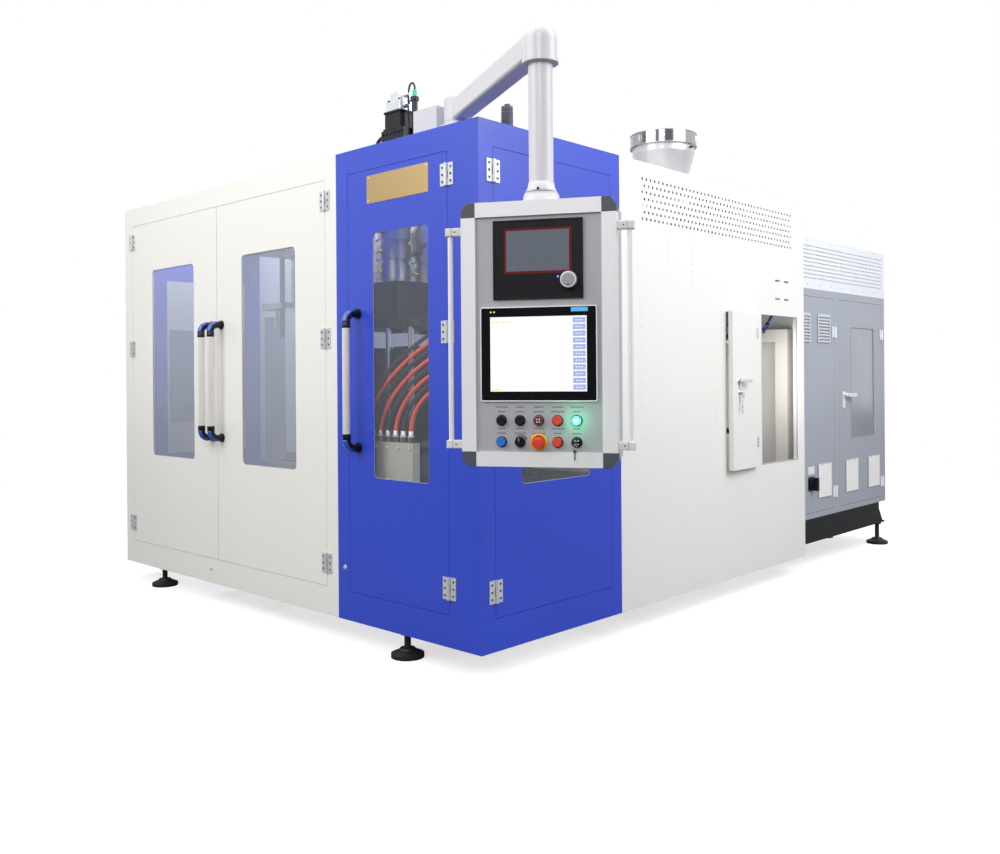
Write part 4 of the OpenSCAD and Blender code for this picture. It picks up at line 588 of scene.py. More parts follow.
@dataclass
class Studio:
    """Floor, light and camera, with the camera where the photograph was taken.

    Attributes:
        eye: The camera's place from the machine's corner, in millimetres.
        heading: Its level viewing direction.
        roll: Its roll in degrees.
        lens: Its focal length on a sensor 36 mm wide.
        horizon: The picture row of the horizon.
        floor_size: Length of the floor's sides in metres.
        floor_fade: Distances in metres between which the floor turns plain white.
        floor_shaded: The part of the floor's white that shadows darken, as a grey.
        floor_light: The rest of it, which no shadow reaches.
        floor_bounce: The floor's colour for light that it throws back.
        lamps: Name, place, aim, size in metres, power in watts and colour of each lamp.
    """

    eye: Point = (2730.0, -2778.0, 1253.0)
    heading: Pair = (-0.6857, 0.7279)
    roll: float = -0.41
    lens: float = 34.43
    horizon: float = 377.0
    floor_size: float = 60.0
    floor_fade: Pair = (4.2, 9.0)
    floor_shaded: str = "#C4C4C4"
    floor_light: float = 0.64
    floor_bounce: str = "#787876"
    lamps: tuple[tuple[str, Point, Point, float, float, str], ...] = (
        ("front_softbox", (-1600, -3700, 4300), (-1500, 0, 1500), 3.6, 172, "#FFFDF8"),
        ("side_softbox", (3700, 2300, 4300), (0, 2100, 1500), 3.6, 222, "#FDFDFF"),
        ("corner_softbox", (3000, -4200, 4300), (600, -300, 1400), 2.0, 80, "#FFFEFC"),
        ("top_softbox", (-1200, 1200, 6500), (-1100, 1900, 0), 5.0, 215, "#FFFFFF"),
        ("mould_bay_lamp", (-2700, 500, 2260), (-2700, 500, 0), 0.8, 8, "#FFFFFF"),
        ("blow_station_lamp", (-1500, 300, 2290), (-1500, 500, 0), 0.4, 4, "#FFFFFF"),
        ("die_head_lamp", (-560, 420, 2290), (-700, 400, 0), 0.4, 9, "#FFFFFF"),
        ("extruder_bay_lamp", (-14, 2500, 1250), (-700, 2850, 1150), 0.5, 2.6, "#FFFCF8"),
    )

    def build(self) -> None:
        """Builds the floor, the world, the lamps and the camera."""
        self._floor()
        self._world()
        self._hang_lamps()
        self._camera()

    def _floor(self) -> None:
        """Lays a white floor with faint shadows that ends in plain white, and dims what it throws back."""
        mesh = bmesh.new()
        bmesh.ops.create_grid(mesh, x_segments=4, y_segments=4, size=self.floor_size / 2)
        data = bpy.data.meshes.new("floor")
        mesh.to_mesh(data)
        mesh.free()
        floor = add_object("floor", data)
        material = bpy.data.materials.new("pale_studio_floor")
        node = node_maker(material)
        white = (1.0, 1.0, 1.0, 1.0)
        far = node("VectorMath", {"operation": "LENGTH"}, i0=node("TexCoord").outputs["Object"])
        fade = node("MapRange", {"interpolation_type": "SMOOTHSTEP"}, Value=far.outputs["Value"],
                    i1=self.floor_fade[0], i2=self.floor_fade[1])
        near = node("AddShader", i0=node("BsdfDiffuse", Color=linear(self.floor_shaded)),
                    i1=node("Emission", Color=white, Strength=self.floor_light))
        seen = node("MixShader", i0=fade, i1=near, i2=node("Emission", Color=white, Strength=1.0))
        bounce = node("BsdfDiffuse", Color=linear(self.floor_bounce))
        camera = node("LightPath").outputs["Is Camera Ray"]
        node("OutputMaterial", Surface=node("MixShader", i0=camera, i1=bounce, i2=seen))
        data.materials.append(material)

    def _world(self) -> None:
        """Lights the scene evenly; mirrors see bright softboxes between darker walls."""
        world = bpy.data.worlds.new("studio")
        bpy.context.scene.world = world
        node = node_maker(world)
        smooth = {"interpolation_type": "SMOOTHSTEP"}
        path = node("LightPath").outputs
        axes = node("SeparateXYZ", Vector=node("TexCoord").outputs["Generated"]).outputs
        bearing = node("Math", {"operation": "ARCTAN2"}, i0=axes[1], i1=axes[0])
        wide, fine = (
            node("Math", {"operation": "SINE"},
                 i0=node("Math", {"operation": "MULTIPLY_ADD"}, i0=bearing, i1=count, i2=start))
            for count, start in ((1.0, -0.23), (5.0, 1.75)))
        wave = node("Math", {"operation": "MULTIPLY_ADD"}, i0=fine, i1=0.35, i2=wide)
        walls = node("MapRange", smooth, Value=wave, i1=-0.75, i2=0.1, i3=0.3, i4=1.15)
        sky = node("MapRange", smooth, Value=axes[2], i1=0.35, i2=0.7, i3=0.0, i4=1.0)
        level = node("Mix", {"data_type": "FLOAT"}, i0=sky, i2=walls, i3=1.0)
        mirrored = node("Background", Color=linear("#F2F4F8"), Strength=level)
        soft = node("Background", Color=linear("#F4F6FA"), Strength=0.62)
        glossy = node("MixShader", i0=path["Is Glossy Ray"], i1=soft, i2=mirrored)
        seen = node("Math", {"operation": "MAXIMUM"}, i0=path["Is Camera Ray"],
                    i1=path["Is Transmission Ray"])
        white = node("Background", Color=(1, 1, 1, 1), Strength=1.0)
        node("OutputWorld", Surface=node("MixShader", i0=seen, i1=glossy, i2=white))

    def _hang_lamps(self) -> None:
        """Hangs large soft lamps round the machine and small ones inside it."""
        for name, at, aim, size, power, colour in self.lamps:
            data = bpy.data.lights.new(name, "AREA")
            data.shape, data.size, data.energy = "SQUARE", size, power
            data.color = linear(colour)[:3]
            lamp = add_object(name, data)
            lamp.location = from_corner(at)
            way = from_corner(aim) - from_corner(at)
            lamp.rotation_euler = way.to_track_quat("-Z", "Y").to_euler()
            lamp.visible_camera = False

    def _camera(self) -> None:
        """Sets the camera at the photograph's place."""
        data = bpy.data.cameras.new("camera")
        data.sensor_fit, data.sensor_width, data.lens = "HORIZONTAL", 36.0, self.lens
        data.shift_y = (self.horizon - PHOTO_HEIGHT / 2) / PHOTO_WIDTH
        data.clip_end = 200.0
        camera = add_object("camera", data)
        level = Vector((*self.heading, 0.0)).to_track_quat("-Z", "Y").to_matrix().to_4x4()
        camera.matrix_world = (Matrix.Translation(from_corner(self.eye)) @ level
                               @ Matrix.Rotation(math.radians(self.roll), 4, "Z"))
        bpy.context.scene.camera = camera


@dataclass
class Assembly:
    """A sub-assembly of the machine.

    Attributes:
        nodes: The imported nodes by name.
    """

    nodes: dict[str, bpy.types.Object]

    def coat(self, finish: Finish, *names: str) -> None:
        """Gives whole nodes one finish."""
        for name in names:
            data = self.nodes[name].data
            data.materials.clear()
            data.materials.append(material_of(finish))
            data.polygons.foreach_set("material_index", [0] * len(data.polygons))

    def patch(self, name: str, finish: Finish, inside: Callable[[Vector, Vector], bool],
              face: Face = WORLD) -> None:
        """Gives some faces of a node another finish.

        Args:
            name: The node.
            finish: The finish.
            inside: Whether a corner of a face, in millimetres on the face, and its normal belong.
            face: The face on whose directions the test works.
        """
        data = self.nodes[name].data
        data.materials.append(material_of(finish))
        index = len(data.materials) - 1
        back = face.matrix().inverted()
        turn = back.to_3x3()
        places = [back @ v.co for v in data.vertices]
        for polygon in data.polygons:
            normal = (turn @ polygon.normal).normalized()
            if all(inside(places[v], normal) for v in polygon.vertices):
                polygon.material_index = index


@dataclass(frozen=True)
class Door:
    """One guard door.

    Attributes:
        name: Its node and body.
        face: The face that it lies on.
        coat: Its finish.
        pane: The finish of its window.
        middle: Middle of its window across the face.
        width: Width of its window.
        grip: Place of its handle.
        hinges: Place of its hinges.
        inwards: 1 if it lies to the right of its hinges, or -1.
    """

    name: str
    face: Face
    coat: Finish
    pane: Finish
    middle: float
    width: float
    grip: float
    hinges: float
    inwards: int


@dataclass
class GuardDoors(Assembly):
    """The four guard doors with their windows, seals, handles and hinges.

    Attributes:
        window_foot: Height of the windows' lower edge.
        window_height: Height of the windows.
        corner: Radius of the windows' corners.
        hinge_heights: Middles of the hinges.
        leaf: Width of a hinge leaf.
        grip_foot: Height of the handles' lower foot.
        grip_span: Distance between the feet.
        reach: Distance from the door to the middle of the tube.
        tube: Radius of the tube.
        bend: Radius of the elbows' middle line.
        cover_arc: Half of the angle that an elbow's cover takes round the tube, in degrees.
        doors: The doors.
    """

    window_foot: float = 792.0
    window_height: float = 1125.0
    corner: float = 30.0
    hinge_heights: Point = (365.0, 1445.0, 2107.0)
    leaf: float = 39.0
    grip_foot: float = 930.0
    grip_span: float = 620.0
    reach: float = 70.0
    tube: float = 18.0
    bend: float = 40.0
    cover_arc: float = 62.0
    doors: tuple[Door, ...] = (
        Door("left_door", FRONT, WHITE_COAT, HAZY_PANE, -2531.75, 500.0, -2082.5, -3030.0, 1),
        Door("right_door", FRONT, WHITE_COAT, HAZY_PANE, -1535.25, 500.0, -1984.5, -1037.0, -1),
        Door("front_door", FRONT, BLUE_COAT, PANE, -493.5, 380.0, -789.0, -185.0, -1),
        Door("side_door", SIDE, BLUE_COAT, PANE, 487.5, 481.0, 817.0, 85.0, 1),
    )

    def build(self) -> None:
        """Dresses every door."""
        for door in self.doors:
            self.coat(door.coat, door.name)
            self.coat(door.pane, f"{door.name}_window")
            self.patch(door.name, ZINC_PLATE,
                       lambda p, n, at=door.hinges: abs(p.x - at) < self.leaf + 12 and p.z > 0.2, door.face)
            self._seal(door)
            self._handle(door)
            self._screws(door)

    def _seal(self, door: Door) -> None:
        """Rounds the window's edge in the door's coat and lays the rubber strip inside it."""
        gap, lip = 0.5, 4.0
        left, foot = door.middle - door.width / 2 - gap, self.window_foot - gap
        right, top = left + door.width + 2 * gap, foot + self.window_height + 2 * gap
        seal = Shape(door.coat).ring((left, foot), (right, top), -3.0, 3.6, lip, self.corner, edge=1.2)
        seal.use(SEAL_RUBBER).ring((left + lip, foot + lip), (right - lip, top - lip), -2.9, 1.6, 2.2,
                                   self.corner - lip, edge=0.4)
        seal.finish(f"{door.name}_window_seal", "hose", door.name, door.face)

    def _handle(self, door: Door) -> None:
        """Gives the tube its anodising and each elbow its cover and collar."""
        node = f"{door.name}_handle"
        self.coat(BLACK_ABS, node)
        low, high = self.grip_foot + self.bend - 1, self.grip_foot + self.grip_span - self.bend + 1
        self.patch(node, CHAMPAGNE,
                   lambda p, n: low < p.y < high and p.z > self.reach - self.tube - 2, door.face)
        covers, sleeves = Shape(BLUE_CAP), Shape(BLACK_ABS)
        for way, foot in ((1, self.grip_foot), (-1, self.grip_foot + self.grip_span)):
            self._cover(covers, door.grip, foot, way)
            sleeves.turned([(self.tube - 2, 0), (self.tube + 1.8, 0), (self.tube + 1.8, 24),
                            (self.tube + 1.0, 27), (self.tube - 2, 27), (self.tube - 2, 0)],
                           at=(door.grip, foot + way * self.bend, self.reach), way=(0, way, 0))
        covers.finish(f"{node}_covers", "blue_plastic", door.name, door.face)
        sleeves.finish(f"{node}_sleeves", "black_plastic", door.name, door.face)

    def _cover(self, shape: Shape, grip: float, foot: float, way: int) -> None:
        """Spins a glossy cover round the outside of one elbow.

        Args:
            shape: The shape that takes it.
            grip: Place of the handle across the door.
            foot: Height of the elbow's foot.
            way: 1 for the lower elbow, -1 for the upper.
        """
        form = bmesh.new()
        centre = Vector((grip, foot + way * self.bend, self.reach - self.bend))
        wide = self.tube + 1.5
        angles = [math.radians(self.cover_arc * (k / 4 - 1)) for k in range(9)]
        arc = chain(form, ((centre.x + wide * math.sin(a), centre.y, self.reach + wide * math.cos(a))
                           for a in angles))
        bmesh.ops.spin(form, geom=arc, cent=centre, axis=(1, 0, 0), angle=way * math.radians(84), steps=14)
        for face in form.faces:
            if (face.calc_center_median() - centre).dot(face.normal) < 0:
                face.normal_flip()
        bmesh.ops.solidify(form, geom=form.faces[:], thickness=2.2)
        shape.join(form, smooth=True)

    def _screws(self, door: Door) -> None:
        """Sets three countersunk screws in each leaf of the door's hinges."""
        knuckle, gap = 10, 8
        for side, part, body in ((door.inwards, "door", door.name), (-door.inwards, "frame", "root")):
            heads = Shape(ZINC_PLATE)
            for height, step in product(self.hinge_heights, (-30, 0, 30)):
                spot = (door.hinges + side * (knuckle + (self.leaf - gap) / 2), height + step, 4.0)
                heads.use(ZINC_PLATE)
                heads.turned([(5.6, 0.0), (8.2, 0.0), (8.2, 0.5), (5.6, 0.9), (5.6, 0.0)], spot, steps=20)
                heads.use(BLACKED_STEEL).turned(disc(5.6, 0.35), spot, steps=20)
                heads.turned([(0.0, 0.2), (1.6, 0.2), (1.6, 0.9), (3.4, 0.9), (3.4, 0.3)], spot, steps=6)
            heads.finish(f"{door.name}_hinge_screws_{part}", "bright_steel", body, door.face)


@dataclass
class Enclosure(Assembly):
    """The coated sheet-metal enclosure with its bolts, plate, seals and access door.

    Attributes:
        plate_low: Lowest u and v of the brass plate.
        plate_high: Its highest u and v.
        access_pin: Distance of the access door's hinge pin from the corner.
        access_out: How far that pin stands out.
        ajar: Angle at which the access door is left ajar, in degrees.
        hose_stops: Where the blue air hose passes.
        ties: Points of the hose's line that carry a tie.
    """

    plate_low: Pair = (-718.0, 2050.0)
    plate_high: Pair = (-302.0, 2178.0)
    access_pin: float = 2282.0
    access_out: float = 8.0
    ajar: float = 3.0
    hose_stops: tuple[Point, ...] = (
        (-7, 2640, 1690), (-34, 2612, 1668), (-44, 2572, 1612), (-46, 2490, 1535), (-46, 2420, 1503),
        (-44, 2355, 1488), (-40, 2220, 1478), (-38, 2080, 1470), (-38, 1985, 1474), (-38, 1900, 1430),
        (-38, 1862, 1240), (-38, 1898, 1030), (-38, 1985, 965), (-36, 2080, 905), (-30, 2125, 780),
        (-7, 2135, 690))
    ties: tuple[int, ...] = (16, 19, 23, 31, 46, 74)

    def build(self) -> None:
        """Coats the sheets and adds their fine pieces."""
        self.coat(WHITE_COAT, "white_front_frame", "mould_bay_shell", "side_panel", "extruder_bay_shell",
                  "access_door")
        # Painted shade: the inward faces of the bay's back wall and roof take the darker blue-grey coat for
        # the dim light inside.
        self.patch("mould_bay_shell", SHADED_BAY_COAT, lambda p, n: n.y < -0.9 or n.z < -0.9)
        self.patch("mould_bay_shell", BLUE_COAT, lambda p, n: n.x > 0.9)
        self.patch("side_panel", ZINC_PLATE, lambda p, n: 2255 < p.x < 2330 and p.z > 0.2, SIDE)
        self.coat(BLUE_COAT, "blue_corner_frame", "blue_roof")
        self.coat(ZINC_PLATE, "door_hinges", "access_lever")
        self.patch("door_hinges", HOOD_COAT, lambda p, n: p.x > 2900, SIDE)
        turn = math.radians(self.ajar)
        across = self.access_pin * (1 - math.cos(turn)) - self.access_out * math.sin(turn)
        out = self.access_out * (1 - math.cos(turn)) + self.access_pin * math.sin(turn)
        access = Face(origin=(out, across, 0.0), right=(-math.sin(turn), math.cos(turn), 0.0))
        self._plate()
        self._bay_covers()
        self._frame_bolts()
        self._side_screws()
        self._air_hose()
        self._access_leaves(access)
        self._access_lock(access)

    def _plate(self) -> None:
        """Fixes the bare brass plate on the front door with four screws."""
        bare = Shape(BRASS_SHEET).slab(self.plate_low, self.plate_high, 0.05, 1.2, corner=3.0, edge=0.4)
        bare.finish("bare_brass_plate", "brass", "front_door", FRONT)
        heads = Shape(CHROME)
        for u, v in product((self.plate_low[0] + 12, self.plate_high[0] - 12),
                            (self.plate_low[1] + 12, self.plate_high[1] - 12)):
            heads.turned(screw_head(4.5, 2.0), (u, v, 1.2), steps=16)
        heads.finish("brass_plate_screws", "bright_steel", "front_door", FRONT)

    def _bay_covers(self) -> None:
        """Screws thin pale covers in the bay's shaded coat to the left and the back wall of the mould bay,
        each with a dark slate plate on it that is painted shade for the dim inside of the bay.
        """
        left = Face(origin=(-3127.0, 0.0, 0.0), right=(0.0, 1.0, 0.0))
        back = Face(origin=(0.0, 963.0, 0.0))
        for face, name, low, high, shade_plate_low, shade_plate_high in (
                (left, "left_wall_cover_with_painted_shade", (275, 770), (905, 1894), (292, 972), (890, 1575)),
                (back, "back_wall_cover_with_painted_shade", (-3060, 620), (-2690, 1700), (-3043, 640), (-2799, 1680))):
            cover = Shape(SHADED_BAY_COAT).slab(low, high, 0.05, 3.0, corner=4, edge=1)
            # Painted shade: a dark slate plate on the pale cover.
            cover.use(PAINTED_SHADE_PLATE).slab(shade_plate_low, shade_plate_high, 3.05, 2.0, corner=4, edge=0.8)
            cover.use(ZINC_PLATE)
            rises = (low[1] + 8, (low[1] + high[1]) / 2, high[1] - 8)
            for u, v in product((low[0] + 8, high[0] - 8), rises):
                cover.turned(screw_head(4.0, 1.8), (u, v, 3.0), steps=14)
            cover.finish(name, "white", face=face)

    def _frame_bolts(self) -> None:
        """Sets the two hexagon bolts low on the frames."""
        bolts = Shape(ZINC_PLATE)
        for spot in ((-897.0, 362.0, 0.0), (-2111.0, 197.0, 0.0)):
            bolts.turned(disc(12.0, 1.2), spot, steps=24)
            bolts.turned([(0.0, 7.0), (7.6, 7.0), (8.4, 6.2), (8.4, 0.5)], spot, steps=6)
        bolts.finish("frame_bolts", "bright_steel", face=FRONT)

    def _side_screws(self) -> None:
        """Sets the rows of rivet heads on the side panel."""
        heads = Shape(ZINC_PLATE)
        for u, low, high, count in ((1390.0, 1740.0, 1977.0, 8), (1615.0, 1740.0, 1977.0, 8),
                                    (1146.0, 941.0, 1608.0, 13), (1840.0, 941.0, 1608.0, 13)):
            for k in range(count):
                heads.turned([(0.0, 2.0), (2.6, 1.7), (4.3, 0.8), (4.8, 0.0)],
                             (u, low + (high - low) * k / (count - 1), 0.0), steps=10)
        heads.finish("side_panel_rivets", "bright_steel", face=SIDE)

    def _air_hose(self) -> None:
        """Puts edge rubber round the side window and leads a tied blue air hose past both openings."""
        edging = Shape(SEAL_RUBBER).ring((2359.0, 727.0), (2812.0, 1611.0), -4.0, 5.4, 3.4, 3.0, edge=0.8)
        edging.finish("side_window_edging", "hose", face=SIDE)
        path = smooth_path(self.hose_stops, 6)
        lay_cord("blue_air_hose", path, 8.0, HOSE_BLUE)
        ties = Shape(BLACK_ABS)
        for k in self.ties:
            way = (path[k + 1] - path[k]).normalized()
            ties.turned(sleeve(7.0, 11.5, -7.0, 7.0), path[k], way, steps=16)
            ties.turned([(0.0, 24.0), (6.0, 24.0), (6.0, 8.0)], path[k], (0, 0, -1), steps=6)
        ties.finish("air_hose_ties", "black_plastic")

    def _access_leaves(self, face: Face) -> None:
        """Screws two hinge leaves to the access door's face."""
        leaves = Shape(ZINC_PLATE)
        for foot in (837.0, 1462.0):
            leaves.use(ZINC_PLATE).slab((2246, foot), (2270, foot + 62), 27.05, 2.4, corner=2, edge=0.8)
            leaves.use(BLACKED_STEEL)
            for rise in (12, 30, 48):
                leaves.turned(disc(3.0, 0.5), (2258.0, foot + rise, 29.4), steps=14)
        leaves.finish("access_hinge_leaves", "bright_steel", "access_door", face)

    def _access_lock(self, face: Face) -> None:
        """Adds the lever's round escutcheon, the lock below it and two keys on a ring."""
        u, v, w = 2029.0, 1219.0, 27.0
        lock = Shape(CHROME)
        lock.turned([(8.0, 0.0), (24.0, 0.0), (24.0, 2.5), (21.0, 5.0), (8.0, 5.0), (8.0, 0.0)], (u, v, w))
        lock.turned([(0.0, 12.0), (9.0, 12.0), (11.0, 10.0), (11.0, 2.0), (17.0, 2.0), (17.0, 0.0)],
                    (u, v - 62, w))
        lock.slab((u - 8, v - 112), (u + 8, v + 10), w + 0.5, 6, corner=4, edge=1.6)
        lock.slab((u - 1, v - 90), (u + 1, v - 62), w + 12, 16, edge=0.3)
        lock.slab((u - 9, v - 108), (u + 9, v - 88), w + 19, 2.0, corner=7, edge=0.4)
        lock.use(BLACKED_STEEL).slab((u - 1, v - 66), (u + 1, v - 58), w + 12, 0.4)
        angles = [math.tau * k / 24 for k in range(24)]
        ring = [(u + 11 * math.sin(a), v - 112 - 11 * math.cos(a), w + 20 + 3 * math.sin(2 * a))
                for a in angles]
        lock.use(CHROME).tube(ring, 1.0, 6)
        lock.slab((u - 8, v - 150), (u + 8, v - 122), w + 17, 2.0, corner=6, edge=0.4)
        lock.slab((u - 3, v - 178), (u + 3, v - 148), w + 17, 2.0, corner=1, edge=0.3)
        lock.finish("access_door_lock", "bright_steel", "access_door", face)


@dataclass
class SwitchgearCabinet(Assembly):
    """The grey cabinet behind the extruder bay.

    Attributes:
        face: The cabinet's front, with u from the machine's corner.
        left: The left door's node.
        right: The right door's node.
        vents: Lowest u and v of each louvred vent.
        vent_size: Width and height of a vent.
        blades: Number of blades in a vent.
        filters: Door and lowest u of each filter cover, and its width.
        filter_foot: The lowest v of the filter covers.
        filter_height: Their height.
        lever: u and v of the lever's axis.
        isolator: u and v of the isolator's axis.
        window_low: Lowest u and v of the right door's window.
        window_high: Its highest u and v.
    """

    face: Face = Face(origin=(-70.0, 0.0, 0.0), right=(0.0, 1.0, 0.0))
    left: str = "cabinet_left_door"
    right: str = "cabinet_right_door"
    vents: tuple[Pair, ...] = ((2950.0, 1467.0), (3245.0, 1467.0))
    vent_size: Pair = (186.0, 188.0)
    blades: int = 8
    filters: tuple[tuple[str, float, float], ...] = (
        ("cabinet_left_door", 3240.0, 195.0), ("cabinet_right_door", 3670.0, 200.0),
        ("cabinet_right_door", 4050.0, 200.0))
    filter_foot: float = 442.0
    filter_height: float = 221.0
    lever: Pair = (3650.0, 1112.0)
    isolator: Pair = (3145.0, 542.0)
    window_low: Pair = (3775.0, 812.0)
    window_high: Pair = (4165.0, 1582.0)

    def build(self) -> None:
        """Coats the cabinet and dresses its doors."""
        self.coat(GREY_COAT, "cabinet_shell", self.left, self.right)
        self.coat(HOOD_COAT, "cabinet_hood")
        self.coat(WHITE_CAP, "cabinet_lever")
        self.coat(BLACK_ABS, "isolator_knob")
        for name, hinges in ((self.left, 3505.0), (self.right, 4310.0)):
            self.patch(name, HOOD_COAT, lambda p, n, at=hinges: at - 50 < p.x and p.z > 0.2, self.face)
        for u, v in self.vents:
            self._mark(self.left, VENT_COAT, u, v, *self.vent_size)
        for name, u, wide in self.filters:
            self._mark(name, FILTER_MAT, u, self.filter_foot, wide, self.filter_height)
        self.patch(self.right, TINTED_PANE,
                   lambda p, n: 3760 < p.x < 4180 and 795 < p.y < 1597 and -8.2 < p.z < -2.9, self.face)
        self._louvres()
        self._grilles()
        self._window_seal()
        self._lock()
        self._isolator_plate()
        self._hood_screws()

    def _mark(self, name: str, finish: Finish, u: float, v: float, wide: float, high: float) -> None:
        """Gives what stands out of a door inside a rectangle another finish."""
        self.patch(name, finish, lambda p, n: u - 1 < p.x < u + wide + 1 and v - 1 < p.y < v + high + 1
                   and p.z > 0.05, self.face)

    def _louvres(self) -> None:
        """Sets a sloping blade in every slot of the vents."""
        blades = Shape(VENT_COAT)
        pitch = (self.vent_size[1] - 20) / self.blades
        tilt = Matrix.Rotation(math.radians(38), 4, "X")
        for (u, v), k in product(self.vents, range(self.blades)):
            blades.slab((u + 12.5, -11), (u + self.vent_size[0] - 12.5, 3), 0.0, 1.4, edge=0.3,
                        turn=Matrix.Translation((0, v + 12 + (k + 0.5) * pitch, 2.4)) @ tilt)
        blades.finish("vent_blades", "grey", self.left, self.face)

    def _grilles(self) -> None:
        """Lays the fine ribs and two clips on every filter cover."""
        count, v, high = 22, self.filter_foot, self.filter_height
        for number, (name, u, wide) in enumerate(self.filters, 1):
            ribs = Shape(FILTER_MAT)
            for k in range(count):
                rise = v + 15 + k * (high - 33) / (count - 1)
                ribs.slab((u + 14, rise), (u + wide - 14, rise + 3.2), 6.0, 2.4, edge=0.5)
            for k in range(4):
                side = u + 13 + k * (wide - 29) / 3
                ribs.slab((side, v + 13), (side + 3, v + high - 13), 6.0, 2.0, edge=0.5)
            ribs.use(GREY_MARK)
            for side in (u + wide * 0.25, u + wide * 0.75):
                ribs.slab((side - 9, v + high - 7), (side + 9, v + high - 3), 8.0, 1.0, edge=0.3)
            ribs.finish(f"filter_ribs_{number}", "grey", name, self.face)

    def _window_seal(self) -> None:
        """Frames the window of the right door with a grey rubber section."""
        lip = 5
        seal = Shape(SEAL_RUBBER).ring((self.window_low[0] - lip, self.window_low[1] - lip),
                                       (self.window_high[0] + lip, self.window_high[1] + lip),
                                       -1.0, 3.4, 7.0, 14.0, edge=1.2)
        seal.finish("cabinet_window_seal", "hose", self.right, self.face)

    def _lock(self) -> None:
        """Adds the plate behind the lever with its lock, and the left door's quarter turns."""
        u, v = self.lever
        lock = Shape(WHITE_CAP).slab((u - 19, v - 92), (u + 19, v + 24), 0.05, 7.0, corner=9, edge=2)
        lock.use(CHROME).turned([(0.0, 3.0), (7.5, 3.0), (9.5, 2.0), (9.5, 0.0)], (u, v - 62, 7.0))
        lock.use(BLACKED_STEEL).slab((u - 1, v - 67), (u + 1, v - 57), 10.0, 0.3)
        lock.finish("cabinet_lock_plate", "bright_steel", self.right, self.face)
        turns = Shape(BLACK_ABS)
        for rise in (450.0, 1560.0):
            turns.use(BLACK_ABS).turned([(0.0, 5.0), (11.0, 5.0), (13.0, 3.5), (13.0, 0.0)],
                                        (2965.0, rise, 0.0))
            turns.use(CHROME).turned(disc(4.0, 1.2), (2965.0, rise, 5.0), steps=3)
        turns.finish("cabinet_quarter_turns", "black_plastic", self.left, self.face)

    def _isolator_plate(self) -> None:
        """Adds the isolator's square plate and the plain small plate above it."""
        u, v = self.isolator
        square = Shape(SATIN_BLACK).slab((u - 46, v - 46), (u + 46, v + 46), 0.05, 3.5, corner=6, edge=1)
        square.use(WHITE_CAP).slab((u - 44, v + 62), (u + 44, v + 112), 0.05, 1.2, corner=2, edge=0.3)
        square.use(GROUND_STEEL)
        for a, b in product((-38, 38), repeat=2):
            square.turned(screw_head(3.6, 1.6), (u + a, v + b, 3.5), steps=14)
        square.finish("isolator_plate", "black_plastic", self.left, self.face)

    def _hood_screws(self) -> None:
        """Fixes the hood and the cabinet's frame with rows of domed screws."""
        heads = Shape(ZINC_PLATE)
        first, last, gaps = 2935.0, 4342.0, 8
        for k, v in product(range(gaps + 1), (1845.0, 2128.0)):
            heads.turned(screw_head(5.0, 2.4), (first + k * (last - first) / gaps, v, 0.0), steps=14)
        heads.finish("hood_screws", "bright_steel", face=self.face)


